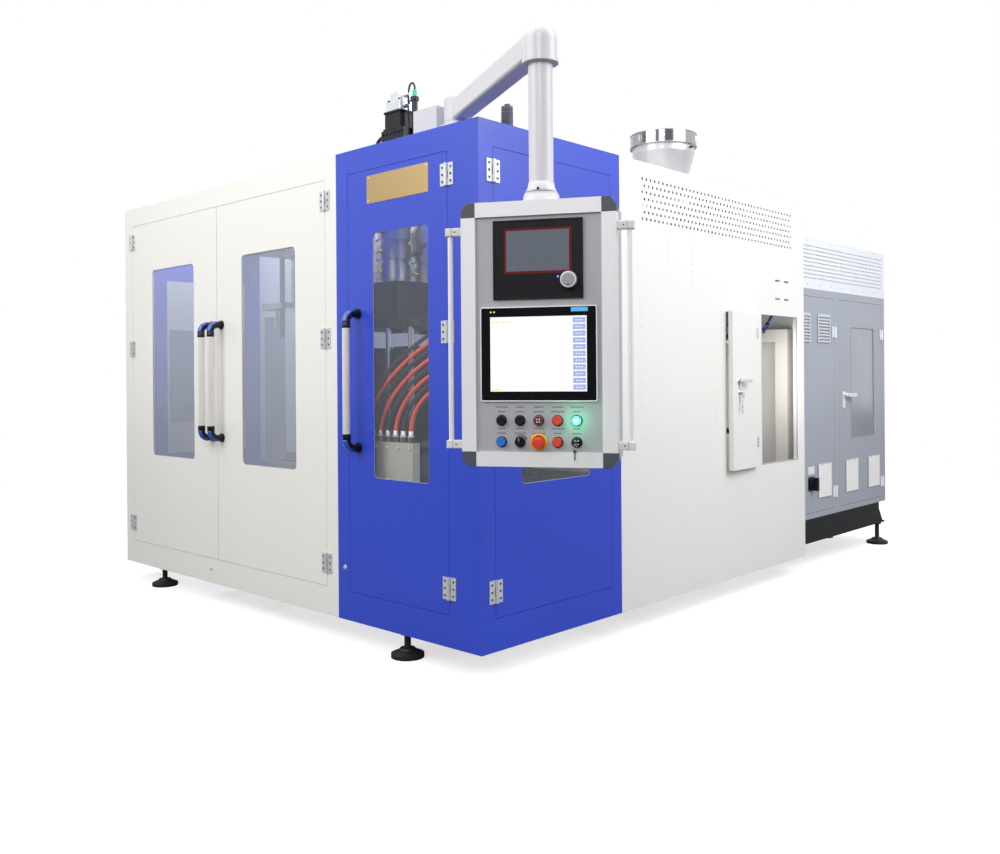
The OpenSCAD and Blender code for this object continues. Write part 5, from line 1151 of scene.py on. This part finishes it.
@dataclass
class OperatorPanel(Assembly):
    """The operator panel on its swivel arm.

    Attributes:
        face: The panel's front, with u from the drop tube's axis.
        back: The panel's back, seen from behind.
        plate: The w of the face plate.
        frame: The w of the frame's front.
        half: Half of the panel's width.
        low: Height of its lower edge.
        high: Height of its upper edge.
        bar: Width of the frame's bars.
        bevel: Width and height of the bevel at its corners.
        pitch: Spacing of the buttons.
        row_high: Height of the upper row of buttons.
        row_low: Height of the lower row.
        cap: How far a button's cap stands out of the plate.
        upper: The controls of the upper row, from the left.
        lower: Those of the lower row.
        rim: Radius and height of a button cap's rim, from its groove to its back.
    """

    face: Face = Face(origin=(603.915, -309.534, 0.0),
                      right=(math.cos(math.radians(29)), math.sin(math.radians(29)), 0.0))
    back: Face = Face(origin=(603.915, -309.534, 0.0),
                      right=(-math.cos(math.radians(29)), -math.sin(math.radians(29)), 0.0))
    plate: float = 67.0
    frame: float = 75.0
    half: float = 265.0
    low: float = 952.0
    high: float = 1842.0
    bar: float = 50.0
    bevel: Pair = (20.0, 28.0)
    pitch: float = 64.0
    row_high: float = 1107.0
    row_low: float = 1035.0
    cap: float = 12.0
    upper: tuple[str, ...] = ("black_button_left", "black_button_right", "buzzer", "red_button_upper",
                              "green_button")
    lower: tuple[str, ...] = ("blue_button", "speed_knob", "emergency_stop", "red_button_lower",
                              "key_switch")
    rim: tuple[Pair, ...] = ((15.15, 0.0), (15.15, -4.0), (14.0, -4.0))

    def build(self) -> None:
        """Coats the arm and the panel, and adds the screens and the buttons."""
        self.coat(ARM_COAT, "arm_base", "arm_beam")
        self.coat(PLATE_COAT, "panel_box")
        self.patch("panel_box", ARM_COAT, lambda p, n: p.y > self.high - 4.5 and abs(p.x) < 60
                   and abs(p.z) < 60, self.face)
        self.coat(ANODISED, "panel_frame", "controller_knob")
        self.coat(SATIN_BLACK, "controller_unit")
        self.coat(BLACK_GLASS, "touch_screen")
        for part in (self._corners, self._clamps, self._collar, self._controller, self._knob, self._screen,
                     self._collars, self._caps, self._lit_button, self._buzzer, self._stop, self._rotary,
                     self._keys, self._marks, self._rear):
            part()

    def _done(self, shape: Shape, name: str, slot: str, body: str = "panel") -> None:
        """Finishes a piece that was drawn on the panel's front."""
        shape.finish(name, slot, body, self.face)

    def _places(self) -> list[tuple[str, float, float]]:
        """Returns the control, u and v of every place in the two rows."""
        return [(name, (k - 2) * self.pitch, height)
                for names, height in ((self.upper, self.row_high), (self.lower, self.row_low))
                for k, name in enumerate(names)]

    def _corners(self) -> None:
        """Sets the dark moulded corners on the frame."""
        shape = Shape(DARK_CORNER)
        out, (cut_u, cut_v) = 1.2, self.bevel
        for s, (edge, t) in product((-1, 1), ((self.low, -1), (self.high, 1))):
            wide, high = s * (self.half + out), edge + t * out
            inner_u, inner_v = s * (self.half - self.bar), edge - t * self.bar
            shape.prism([(inner_u, high), (s * (self.half - cut_u), high), (wide, edge - t * cut_v),
                         (wide, inner_v), (inner_u, inner_v)], self.frame - 34, 35.4, edge=2.6)
        self._done(shape, "panel_frame_corners", "black_plastic")

    def _clamps(self) -> None:
        """Adds the rounded clamps of the grab rails and the screws in them."""
        shape = Shape(CLAMP_COAT)
        for s, foot in product((-1, 1), (self.low + 60, self.high - 108)):
            left, right = sorted((s * (self.half + 0.6), s * (self.half + 57)))
            shape.use(CLAMP_COAT).slab((left, foot - 1), (right, foot + 27), 45.5, 27.0, corner=3, edge=3)
            shape.use(DARK_CORNER)
            shape.turned(disc(3.2, 0.6), (s * (self.half + 22), foot + 13, 72.5), steps=6)
            split = s * (self.half + 34)
            shape.slab((split - 0.6, foot - 1.4), (split + 0.6, foot + 27.4), 45.2, 27.7)
        self._done(shape, "grab_rail_clamps", "aluminium")

    def _collar(self) -> None:
        """Sets the flared collar and its clamp ring where the drop tube meets the panel."""
        shape = Shape(ARM_COAT)
        shape.turned([(58.0, 0.0), (66.0, 0.0), (66.0, 3.0), (62.5, 8.0), (61.0, 26.0), (58.0, 26.0),
                      (58.0, 0.0)], (0.0, self.high, 0.0), (0, 1, 0), steps=56)
        self._done(shape, "swivel_collar", "white")
        ring = Shape(ARM_COAT)
        ring.turned([(41.0, 0.0), (53.0, 0.0), (53.0, 6.0), (47.0, 16.0), (44.5, 34.0), (41.0, 34.0),
                     (41.0, 0.0)], (0.0, self.high + 36, 0.0), (0, 1, 0), steps=56)
        ring.use(BLACKED_STEEL)
        for s in (-1, 1):
            ring.turned(cap_screw(4.6, 4.5, 2.4, 2.0), (0.0, self.high + 42, s * 52.0), (0, 0, s), steps=16)
        self._done(ring, "drop_tube_ring", "white", "arm")

    def _controller(self) -> None:
        """Adds the parison controller's glass, its red border and its lamp."""
        glass = Shape(RED_GLASS).slab((-115, 1598), (115, 1750), self.plate + 4.2, 0.6)
        glass.use(DARK_GLASS).slab((-107, 1606), (107, 1742), self.plate + 4.9, 0.4)
        glass.use(LIT_BLUE)
        glass.turned([(0.0, 1.6), (2.4, 1.2), (3.2, 0.0)], (69.0, 1585.0, self.plate + 6), steps=16)
        glass.use(SATIN_BLACK).ring((-153, 1512), (153, 1778), self.plate + 5.9, 1.6, 7.0, 4.0, edge=1.0)
        glass.use(BLACKED_STEEL)
        for u, v in product((-143, 143), (1524, 1766)):
            glass.turned(screw_head(3.4, 1.4), (u, v, self.plate + 6), steps=14)
        self._done(glass, "controller_glass", "window")

    def _knob(self) -> None:
        """Gives the controller's knob its grip ribs, its cap and its dark mark."""
        u, v, w = 107.0, 1573.0, self.plate + 6
        knob = Shape(KNOB_SKIN)
        knob.turned([(0.0, 23.2), (19.0, 23.2), (22.0, 22.4), (26.8, 20.0), (27.4, 4.0), (27.4, 0.6),
                     (24.0, 0.6)], (u, v, w), steps=48)
        for k in range(30):
            knob.slab((-1.1, -0.7), (1.1, 1.3), 2.0, 16.0, edge=0.3,
                      turn=around((u, v, w), math.tau * k / 30, 27.0))
        knob.use(BLACK_ABS).slab((u - 5, v - 19), (u + 5, v - 15.5), w + 22.8, 0.5, corner=1.2)
        self._done(knob, "controller_knob_skin", "aluminium", "controller_knob")

    def _screen(self) -> None:
        """Adds the touch screen's bezel, its lit display and its keys."""
        bezel = Shape(ANODISED).ring((-199, 1170), (199, 1488), self.plate + 0.05, 7.0, 4.0, 9.0, edge=1.2)
        self._done(bezel, "touch_screen_bezel", "aluminium")
        glass, front = self.plate + 6.0, self.plate + 5.75
        lit = Shape(LIT_WHITE).slab((-164, 1204), (164, 1454), self.plate + 5.1, 0.6)
        for foot in (1209 + k * 22.2 for k in range(11)):
            lit.use(LIT_KEY).slab((118, foot), (160, foot + 17.6), front, 0.2)
            lit.use(LIT_WHITE)
            for left in (127, 136, 145):
                lit.slab((left, foot + 7), (left + 5, foot + 10.5), self.plate + 5.97, 0.1)
        lit.use(LIT_TAG).slab((112, 1468), (168, 1482), glass, 0.25)
        lit.use(LIT_AMBER)
        for k, wide in enumerate((7, 9, 5, 9, 6, 8)):
            lit.slab((12 * k - 160, 1434), (12 * k - 160 + wide, 1439), front, 0.2)
        lit.slab((-160, 1207), (-128, 1212), front, 0.2)
        for u in (-162, -150):
            lit.turned([(0.0, 0.5), (2.6, 0.4), (3.0, 0.0)], (u, 1471, glass), steps=14)
        self._done(lit, "touch_screen_display", "window")

    def _collars(self) -> None:
        """Sets a collar round every control."""
        shape = Shape(COLLAR_BLACK)
        for name, u, v in self._places():
            if name == "emergency_stop":
                shape.use(STOP_YELLOW)
                shape.turned([(14, 0), (29, 0), (29, 3), (26.5, 6.5), (22, 6.5), (21.5, 1.6), (14, 1.6),
                              (14, 0)], (u, v, self.plate), steps=44)
            else:
                shape.use(COLLAR_BLACK)
                shape.turned([(15.3, 0), (18.5, 0), (18.5, 2.5), (17.2, 4.2), (15.3, 4.2), (15.3, 0)],
                             (u, v, self.plate), steps=36)
        self._done(shape, "button_collars", "black_plastic")

    def _caps(self) -> None:
        """Rounds the caps of the push buttons and gives each its finish."""
        finishes = {"black_button_left": BLACK_ABS, "black_button_right": BLACK_ABS,
                    "red_button_upper": RED_CAP, "red_button_lower": RED_CAP, "blue_button": BLUE_BUTTON}
        for name, u, v in self._places():
            if name in finishes:
                self.coat(finishes[name], name)
                cap = Shape(finishes[name])
                cap.turned([(0.0, 0.5), (9.0, 0.7), (11.5, 1.6), (13.2, 1.6), *self.rim],
                           (u, v, self.plate + self.cap), steps=36)
                self._done(cap, f"{name}_cap", "black_plastic" if "black" in name else "red_plastic", name)

    def _lit_button(self) -> None:
        """Lights the green button from its middle."""
        self.coat(GREEN_RING, "green_button")
        u, v, w = 2 * self.pitch, self.row_high, self.plate + self.cap
        cap = Shape(GREEN_RING)
        cap.turned([(7.5, 0.2), (11.5, 1.4), (13.2, 1.4), *self.rim, (7.5, 0.2)], (u, v, w), steps=36)
        cap.use(LIT_GREEN).turned([(0.0, 1.2), (5.0, 1.0), (8.0, 0.2)], (u, v, w))
        self._done(cap, "green_button_cap", "green_plastic", "green_button")
        data = bpy.data.lights.new("green_button_glow", "POINT")
        data.energy, data.shadow_soft_size = 0.12, 12 * MM
        data.color = linear("#3CFFA8")[:3]
        glow = add_object("green_button_glow", data)
        glow.location = self.face.matrix() @ Vector((u, v, w + 24))
        glow.visible_camera = False

    def _buzzer(self) -> None:
        """Caps the buzzer and sets its four pale sound holes."""
        middle = (0.0, self.row_high, self.plate + self.cap)
        cap = Shape(BUZZER_RED)
        cap.turned([(0.0, 1.2), (11.0, 1.2), (14.0, 0.6), (15.25, -1.0), (15.25, -5.0), (14.0, -5.0)],
                   middle, steps=36)
        cap.use(PALE_MARK)
        for angle in (45, 135, 225, 315):
            u, v, w = polar(middle, 6.2, math.radians(angle))
            cap.turned(disc(2.3, 0.7), (u, v, w + 1.1), steps=12)
        self._done(cap, "buzzer_cap", "red_plastic")

    def _stop(self) -> None:
        """Rounds the emergency stop's mushroom."""
        self.coat(STOP_RED, "emergency_stop")
        cap = Shape(STOP_RED)
        cap.turned([(0.0, 2.2), (9.0, 1.9), (15.0, 0.9), (19.0, -1.6), (20.6, -5.0), (20.6, -12.0),
                    (18.6, -15.4), (12.0, -16.0)], (0.0, self.row_low, self.plate + 24), steps=48)
        self._done(cap, "emergency_stop_cap", "red_plastic", "emergency_stop")

    def _rotary(self) -> None:
        """Gives the speed knob its ribs and pointer, and the plate its widening scale."""
        self.coat(BLACK_ABS, "speed_knob")
        u, v, w = middle = -self.pitch, self.row_low, self.plate
        knob = Shape(BLACK_ABS)
        for k in range(20):
            knob.slab((-1.0, -0.8), (1.0, 0.9), 1.5, 13.5, edge=0.3,
                      turn=around(middle, math.tau * k / 20, 15.0))
        knob.use(PALE_MARK).slab((u - 0.8, v + 3), (u + 0.8, v + 13.5), w + 24.0, 0.5)
        self._done(knob, "speed_knob_skin", "black_plastic", "speed_knob")
        angles = [math.radians(140 - 10 * k) for k in range(13)]
        outline = [polar(middle, 22.5 + 0.3 * k, a)[:2] for k, a in enumerate(angles)]
        outline += [polar(middle, 21.5, a)[:2] for a in reversed(angles)]
        self._done(Shape(BLACK_ABS).prism(outline, w + 0.02, 0.3), "speed_scale", "aluminium")

    def _keys(self) -> None:
        """Adds the lock's barrel, the key's bow and a spare key on a ring."""
        self.coat(CHROME, "key_switch")
        self.patch("key_switch", COLLAR_BLACK, lambda p, n: p.z < self.plate + 12.5, self.face)
        u, v, w = 2 * self.pitch, self.row_low, self.plate
        lock = Shape(COLLAR_BLACK)
        lock.turned([(12.1, 0.0), (14.6, 0.0), (14.6, 9.0), (13.4, 11.4), (9.0, 12.4), (9.0, 9.4),
                     (12.1, 9.4), (12.1, 0.0)], (u, v, w + 0.15))
        lock.use(PALE_MARK)
        for angle in (45, 135, 225, 315):
            lock.slab((5.0, -1.2), (11.5, 1.2), w + 12.2, 0.6, turn=around((u, v, 0), math.radians(angle)))
        lock.use(CHROME).slab((u - 1.2, v - 12), (u + 1.2, v + 12), w + 34, 15, corner=0.8, edge=0.4)
        angles = [math.tau * k / 28 for k in range(29)]
        lock.tube([(u + 7 * math.sin(a), v - 14 - 7 * math.cos(a), w + 42 + 2 * math.sin(a))
                   for a in angles], 0.7, 6)
        lock.slab((u - 6, v - 33), (u + 6, v - 20), w + 41, 1.8, corner=4, edge=0.4)
        lock.slab((u - 2.4, v - 56), (u + 2.4, v - 32), w + 41, 1.6, corner=0.8, edge=0.3)
        self._done(lock, "keys", "bright_steel", "key_switch")

    def _marks(self) -> None:
        """Prints two rows of short plain dashes above every control."""
        marks = Shape(GREY_MARK)
        for (k, (_, u, v)), (row, rise) in product(enumerate(self._places()), enumerate((27.0, 42.5))):
            count = 4 + (k * 5 + row * 3) % 4
            for dash in range(count):
                middle = u + (dash - (count - 1) / 2) * 6.4
                foot = v + rise + 0.8 * ((dash + row) % 2)
                marks.slab((middle - 2.4, foot), (middle + 2.4, foot + 3.4), self.plate + 0.02, 0.15)
        self._done(marks, "control_marks", "black_plastic")

    def _rear(self) -> None:
        """Closes the back with a cover, its screws and a vent."""
        cover = Shape(PLATE_COAT).slab((-222, 1000), (222, 1796), self.frame, 2.0, corner=10, edge=0.8)
        cover.use(ZINC_PLATE)
        for u, v in product((-208, 0, 208), (1014, 1782)):
            cover.turned(screw_head(4.4, 2.0), (u, v, self.frame + 2), steps=16)
        cover.use(BLACK_ABS)
        for foot in range(1560, 1677, 13):
            cover.slab((-90, foot), (90, foot + 5), self.frame + 2, 0.4, corner=2)
        cover.finish("panel_rear_cover", "panel_grey", "panel", self.back)


@dataclass
class RoofGear(Assembly):
    """Hopper, valve gear and silencer on the roof.

    Attributes:
        valve: Middle of the valve block on the roof.
        roof: Height of the roof.
        hopper: Axis of the hopper.
        rim: Height of its rim.
        silencer: Axis of the silencer.
    """

    valve: Pair = (-760.0, 250.0)
    roof: float = 2315.0
    hopper: Pair = (-560.0, 2190.0)
    rim: float = 2723.0
    silencer: Pair = (-60.0, 240.0)

    def build(self) -> None:
        """Coats the pieces on the roof and adds their fittings and leads."""
        self.coat(STAINLESS, "hopper")
        self.patch("hopper", SATIN_STAINLESS, lambda p, n: p.z < self.rim - 74)
        self.patch("hopper", BLACK_ABS,
                   lambda p, n: abs(p.y - self.hopper[1]) < 7 and abs(p.z - self.rim + 98) < 7
                   and p.x > self.hopper[0] + 170)
        self.coat(BLACK_ABS, "roof_valve_gear")
        self.patch("roof_valve_gear", ZINC_PLATE,
                   lambda p, n: self.roof + 213 < p.z < self.roof + 243 and p.x < self.valve[0] + 60)
        column = Vector((self.valve[0] + 95, self.valve[1]))
        self.patch("roof_valve_gear", BLACKED_STEEL, lambda p, n: (p.xy - column).length < 21)
        self.patch("roof_valve_gear", DARK_CORNER, lambda p, n: p.x > -120)
        self._valve()
        self._valve_mates()
        self._silencer()
        self._hopper()
        self._cables()

    def _valve(self) -> None:
        """Adds the valve's cover, its servo block, its screws and the joints of its hydraulic lines."""
        x, y = self.valve
        top = self.roof
        shape = Shape(BLACK_ABS)
        shape.slab((x - 76, y - 50), (x + 46, y + 50), top + 206, 10, corner=4, edge=2)
        shape.slab((x - 78, y - 52), (x + 48, y + 52), top + 126, 8, corner=4, edge=2)
        shape.use(ZINC_PLATE)
        shape.slab((x - 68, y - 40), (x + 34, y + 40), top + 216, 48, corner=5, edge=3)
        shape.slab((x - 50, y - 30), (x + 20, y + 30), top + 264, 42, corner=6, edge=4)
        shape.slab((x - 34, y - 20), (x + 2, y + 20), top + 306, 14, corner=5, edge=3)
        shape.use(CHROME)
        shape.turned(stub(9.0, 34.0, 12.0, 20.0, 2.0), (x + 34, y - 8, top + 284), (1, 0, 0), steps=20)
        shape.turned(stub(11.0, 30.0, 14.0, 10.0, 2.0), (x + 34, y - 8, top + 240), (1, 0, 0), steps=20)
        shape.use(BLACKED_STEEL)
        for u, v in product((-54, 22), (-33, 33)):
            shape.turned(cap_screw(6.5, 8.0, 3.0, 3.0), (x + u, y + v, top + 264), steps=16)
        for u in (-68, -40, -12, 16, 44, 68):
            shape.turned(cap_screw(5.0, 6.0, 2.6, 2.0), (x + u, y - 60, top + 104), (0, -1, 0), steps=14)
        shape.use(CHROME)
        for u in (-45, 0, 45):
            shape.turned(stub(9.0, 26.0, 13.0, 14.0), (x + u, y - 60, top + 40), (0, -1, 0), steps=6)
        shape.turned(stub(8.5, 26.0, 13.0, 16.0), (x - 80, y - 20, top + 108), (-1, 0, 0), steps=6)
        shape.finish("servo_valve_fittings", "bright_steel")

    def _valve_mates(self) -> None:
        """Sets the transducer's plug on its column and ribs on the drum."""
        x, y = self.valve
        top = self.roof
        plug = Shape(TEAL_PLUG)
        plug.turned([(0.0, 34.0), (8.0, 34.0), (10.0, 30.0), (10.0, 6.0), (12.0, 6.0), (12.0, 0.0)],
                    (x + 95, y, top + 268), steps=24)
        plug.use(CHROME).turned(sleeve(10.0, 13.5, 0.0, 8.0), (x + 95, y, top + 264), steps=6)
        plug.finish("transducer_plug", "green_plastic")
        drum = Shape(BLACK_RUBBER)
        for k in range(4):
            drum.turned([(35.0, 0.0), (37.5, 1.5), (37.5, 6.0), (35.0, 7.5), (35.0, 0.0)],
                        (x + 150, y + 20, top + 12 + k * 13), steps=36)
        drum.finish("valve_drum_ribs", "dark_steel")

    def _silencer(self) -> None:
        """Adds the silencer's ribs and its flange bolts."""
        shape = Shape(DARK_CORNER)
        for k in range(6):
            shape.turned([(24.6, 0.0), (26.0, 1.0), (26.0, 4.0), (24.6, 5.0), (24.6, 0.0)],
                         (*self.silencer, self.roof + 18 + k * 10))
        shape.use(BLACKED_STEEL)
        for angle in (45, 135, 225, 315):
            shape.turned(disc(3.6, 4.0), polar((*self.silencer, self.roof + 12), 28.4, math.radians(angle)),
                         steps=6)
        shape.finish("silencer_ribs", "black_plastic")

    def _hopper(self) -> None:
        """Rolls the two beads of the hopper's ring and sets its clamps and a level sensor."""
        x, y = self.hopper
        rim = Shape(STAINLESS)
        radius, bead = 200.0, 3.2
        circle = [polar((radius, 0.0, 0.0), bead, math.tau * k / 10)[:2] for k in range(10)]
        for drop in (3.4, 76):
            rim.turned([*circle, circle[0]], (x, y, self.rim - drop), steps=72)
        rim.use(CHROME)
        for angle in (20, 140, 260):
            rim.slab((199.6, -9), (204.6, 9), 0.0, 34.0, corner=1.5, edge=1,
                     turn=around((x, y, self.rim - 56), math.radians(angle)))
        rim.use(BLACK_ABS).turned([(0.0, 52.0), (9.0, 52.0), (11.0, 49.0), (11.0, 0.0)],
                                  (x + 118, y - 110, self.rim - 128), steps=24)
        rim.finish("hopper_rim", "bright_steel")

    def _cables(self) -> None:
        """Runs the two short leads between the plug, the valve and the roof."""
        leads = (
            ("transducer_lead", 4.5, ((95, 0, 288), (95, 0, 318), (84, -4, 336), (66, -8, 318),
                                      (58, -8, 240), (62, -6, 120), (84, -14, 22), (84, -20, -1))),
            ("valve_hose", 8.5, ((-80, -20, 108), (-116, -22, 108), (-146, -24, 92), (-166, -26, 54),
                                 (-172, -26, -1))),
        )
        for name, radius, steps in leads:
            stops = [Vector((*self.valve, self.roof)) + Vector(step) for step in steps]
            lay_cord(name, smooth_path(stops, 5), radius, BLACK_RUBBER)


@dataclass
class MouldingStation(Assembly):
    """Die heads, moulds, clamp and hoses behind the windows.

    Attributes:
        hoses: Number of coolant hoses.
        radius: Radius of a hose.
        first: The x of the first hose's foot.
        last: The x of the last one's.
        foot: Height of their feet.
        line: Distance of the hoses from the front.
        far: The x of their far ends.
        far_foot: Height of the lowest far end.
        heads: Distance of each die head from the front.
        head_x: The x of the die heads.
        head_foot: Height of their feet.
    """

    hoses: int = 8
    radius: float = 9.0
    first: float = -880.0
    last: float = -510.0
    foot: float = 986.5
    line: float = 75.0
    far: float = -133.0
    far_foot: float = 1270.0
    heads: Pair = (260.0, 480.0)
    head_x: float = -840.0
    head_foot: float = 1714.0

    def build(self) -> None:
        """Coats the pieces inside the enclosure and lays the hoses."""
        for finish, names in (
                (BLACKED_STEEL, ("die_head", "mould_left", "mould_right")),
                (GROUND_STEEL, ("barrel", "screw")),
                (DRIVE_ENAMEL, ("gearbox", "drive_motor", "clamp_bed", "mould_carriage")),
                (TANK_ENAMEL, ("hydraulic_tank", "water_manifold")), (CHROME, ("blow_pins",)),
                (BLACK_RUBBER, ("coolant_hoses",))):
            self.coat(finish, *names)
        self.patch("die_head", GROUND_STEEL, lambda p, n: p.z > 1690 and p.y < 560)
        self.patch("clamp_bed", BLUE_COAT, lambda p, n: -1880 < p.x < -1800 and p.z > 759)
        self.patch("clamp_bed", CHROME,
                   lambda p, n: -740 < p.x < -540 and 105 < p.y < 145 and 759 < p.z < 1487)
        self.patch("water_manifold", BRASS, lambda p, n: p.x < -400 and p.z > 959.5)
        self._hoses()
        self._heads()
        self._bolts()

    def _hoses(self) -> None:
        """Lays black and red-orange hoses in arcs from the manifold to the junction block."""
        pitch = (self.last - self.first) / (self.hoses - 1)
        ends = Shape(ZINC_PLATE)
        for i in range(self.hoses):
            start = Vector((self.first + i * pitch, self.line, self.foot))
            end = Vector((self.far, self.line, self.far_foot + 35 * (self.hoses - 1 - i)))
            rise = Vector((0, 0, 130 + 8 * (self.hoses - i)))
            back = Vector((260 + 12 * (self.hoses - i), 0, 60))
            path = [self._bend(start, start + rise, end - back, end, k / 24) for k in range(25)]
            finish = BLACK_RUBBER if i % 2 == 0 else HOSE_RED
            piece = lay_cord(f"coolant_hose_{i + 1}", path, self.radius, finish)
            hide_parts("coolant_hoses")
            for spot, way in ((start, rise), (end, -back)):
                ends.turned([(9.3, 0.0), (11.6, 0.0), (11.6, 4.0), (10.6, 6.0), (10.6, 24.0), (9.3, 26.0),
                             (9.3, 0.0)], spot, way, steps=20)
                ends.turned(sleeve(9.3, 14.5, -3.0, 5.0), spot, way, steps=6)
        ends.finish("hose_ferrules", "bright_steel")

    def _heads(self) -> None:
        """Adds the heater bands' clamp screws, their terminal caps and the heads' bolts."""
        shape = Shape(BRASS)
        for y in self.heads:
            for rise in (self.head_foot + 50 + k * 95 for k in range(3)):
                shape.use(BRASS).turned(stub(7.0, 26.0, 9.0, 20.0), (self.head_x + 18, y - 83, rise),
                                        (0, -1, 0), steps=6)
                shape.use(CHROME).turned(disc(4.0, 20.0), (self.head_x - 18, y - 83, rise), (0, -1, 0),
                                         steps=12)
            shape.use(BLACKED_STEEL)
            for k in range(8):
                spot = polar((self.head_x, y, self.head_foot + 300), 64, math.tau * k / 8)
                shape.turned(cap_screw(7.0, 9.0, 3.4, 3.0), spot, steps=14)
        shape.finish("die_head_fittings", "bright_steel")

    def _bolts(self) -> None:
        """Bolts the plate of the die heads and the cover of the manifold."""
        shape = Shape(BLACKED_STEEL)
        for k in range(7):
            shape.turned(cap_screw(9.0, 11.0, 4.4, 3.0, 0.6), (-1050 + k * 100, 90.0, 1506.0), (0, -1, 0),
                         steps=16)
        shape.use(ZINC_PLATE)
        for k, rise in product(range(6), (785.0, 935.0)):
            shape.turned([(0.0, 6.0), (7.0, 6.0), (8.0, 5.0), (8.0, 0.0)], (-890 + k * 78, 58.0, rise),
                         (0, -1, 0), steps=6)
        shape.finish("die_plate_bolts", "dark_steel")

    @staticmethod
    def _bend(a: Vector, b: Vector, c: Vector, d: Vector, t: float) -> Vector:
        """Returns the point at t on the curve from a to d."""
        return a * (1 - t) ** 3 + b * 3 * t * (1 - t) ** 2 + c * 3 * t * t * (1 - t) + d * t**3


@dataclass
class BaseFrame(Assembly):
    """The welded base, its legs inside the extruder bay and its levelling feet.

    Attributes:
        deck: Height above which the legs and the deck of the drive stand.
    """

    deck: float = 315.0

    def build(self) -> None:
        """Coats the base and the feet."""
        self.coat(BASE_ENAMEL, "machine_base")
        self.patch("machine_base", LEG_COAT, lambda p, n: p.z > self.deck and 965 < p.y < 2907)
        self.coat(BLACK_RUBBER, "levelling_feet")


def main() -> None:
    """Builds the machine's look, piece by piece."""
    logging.basicConfig(level=logging.INFO, format="%(name)s: %(message)s")
    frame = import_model()
    bpy.context.scene.view_settings.view_transform = "Standard"
    Studio().build()
    for kind in (BaseFrame, Enclosure, GuardDoors, SwitchgearCabinet, OperatorPanel, RoofGear,
                 MouldingStation):
        kind(frame["nodes"]).build()
        LOG.info("%s dressed", kind.__name__)


if __name__ == "__main__":
    main()
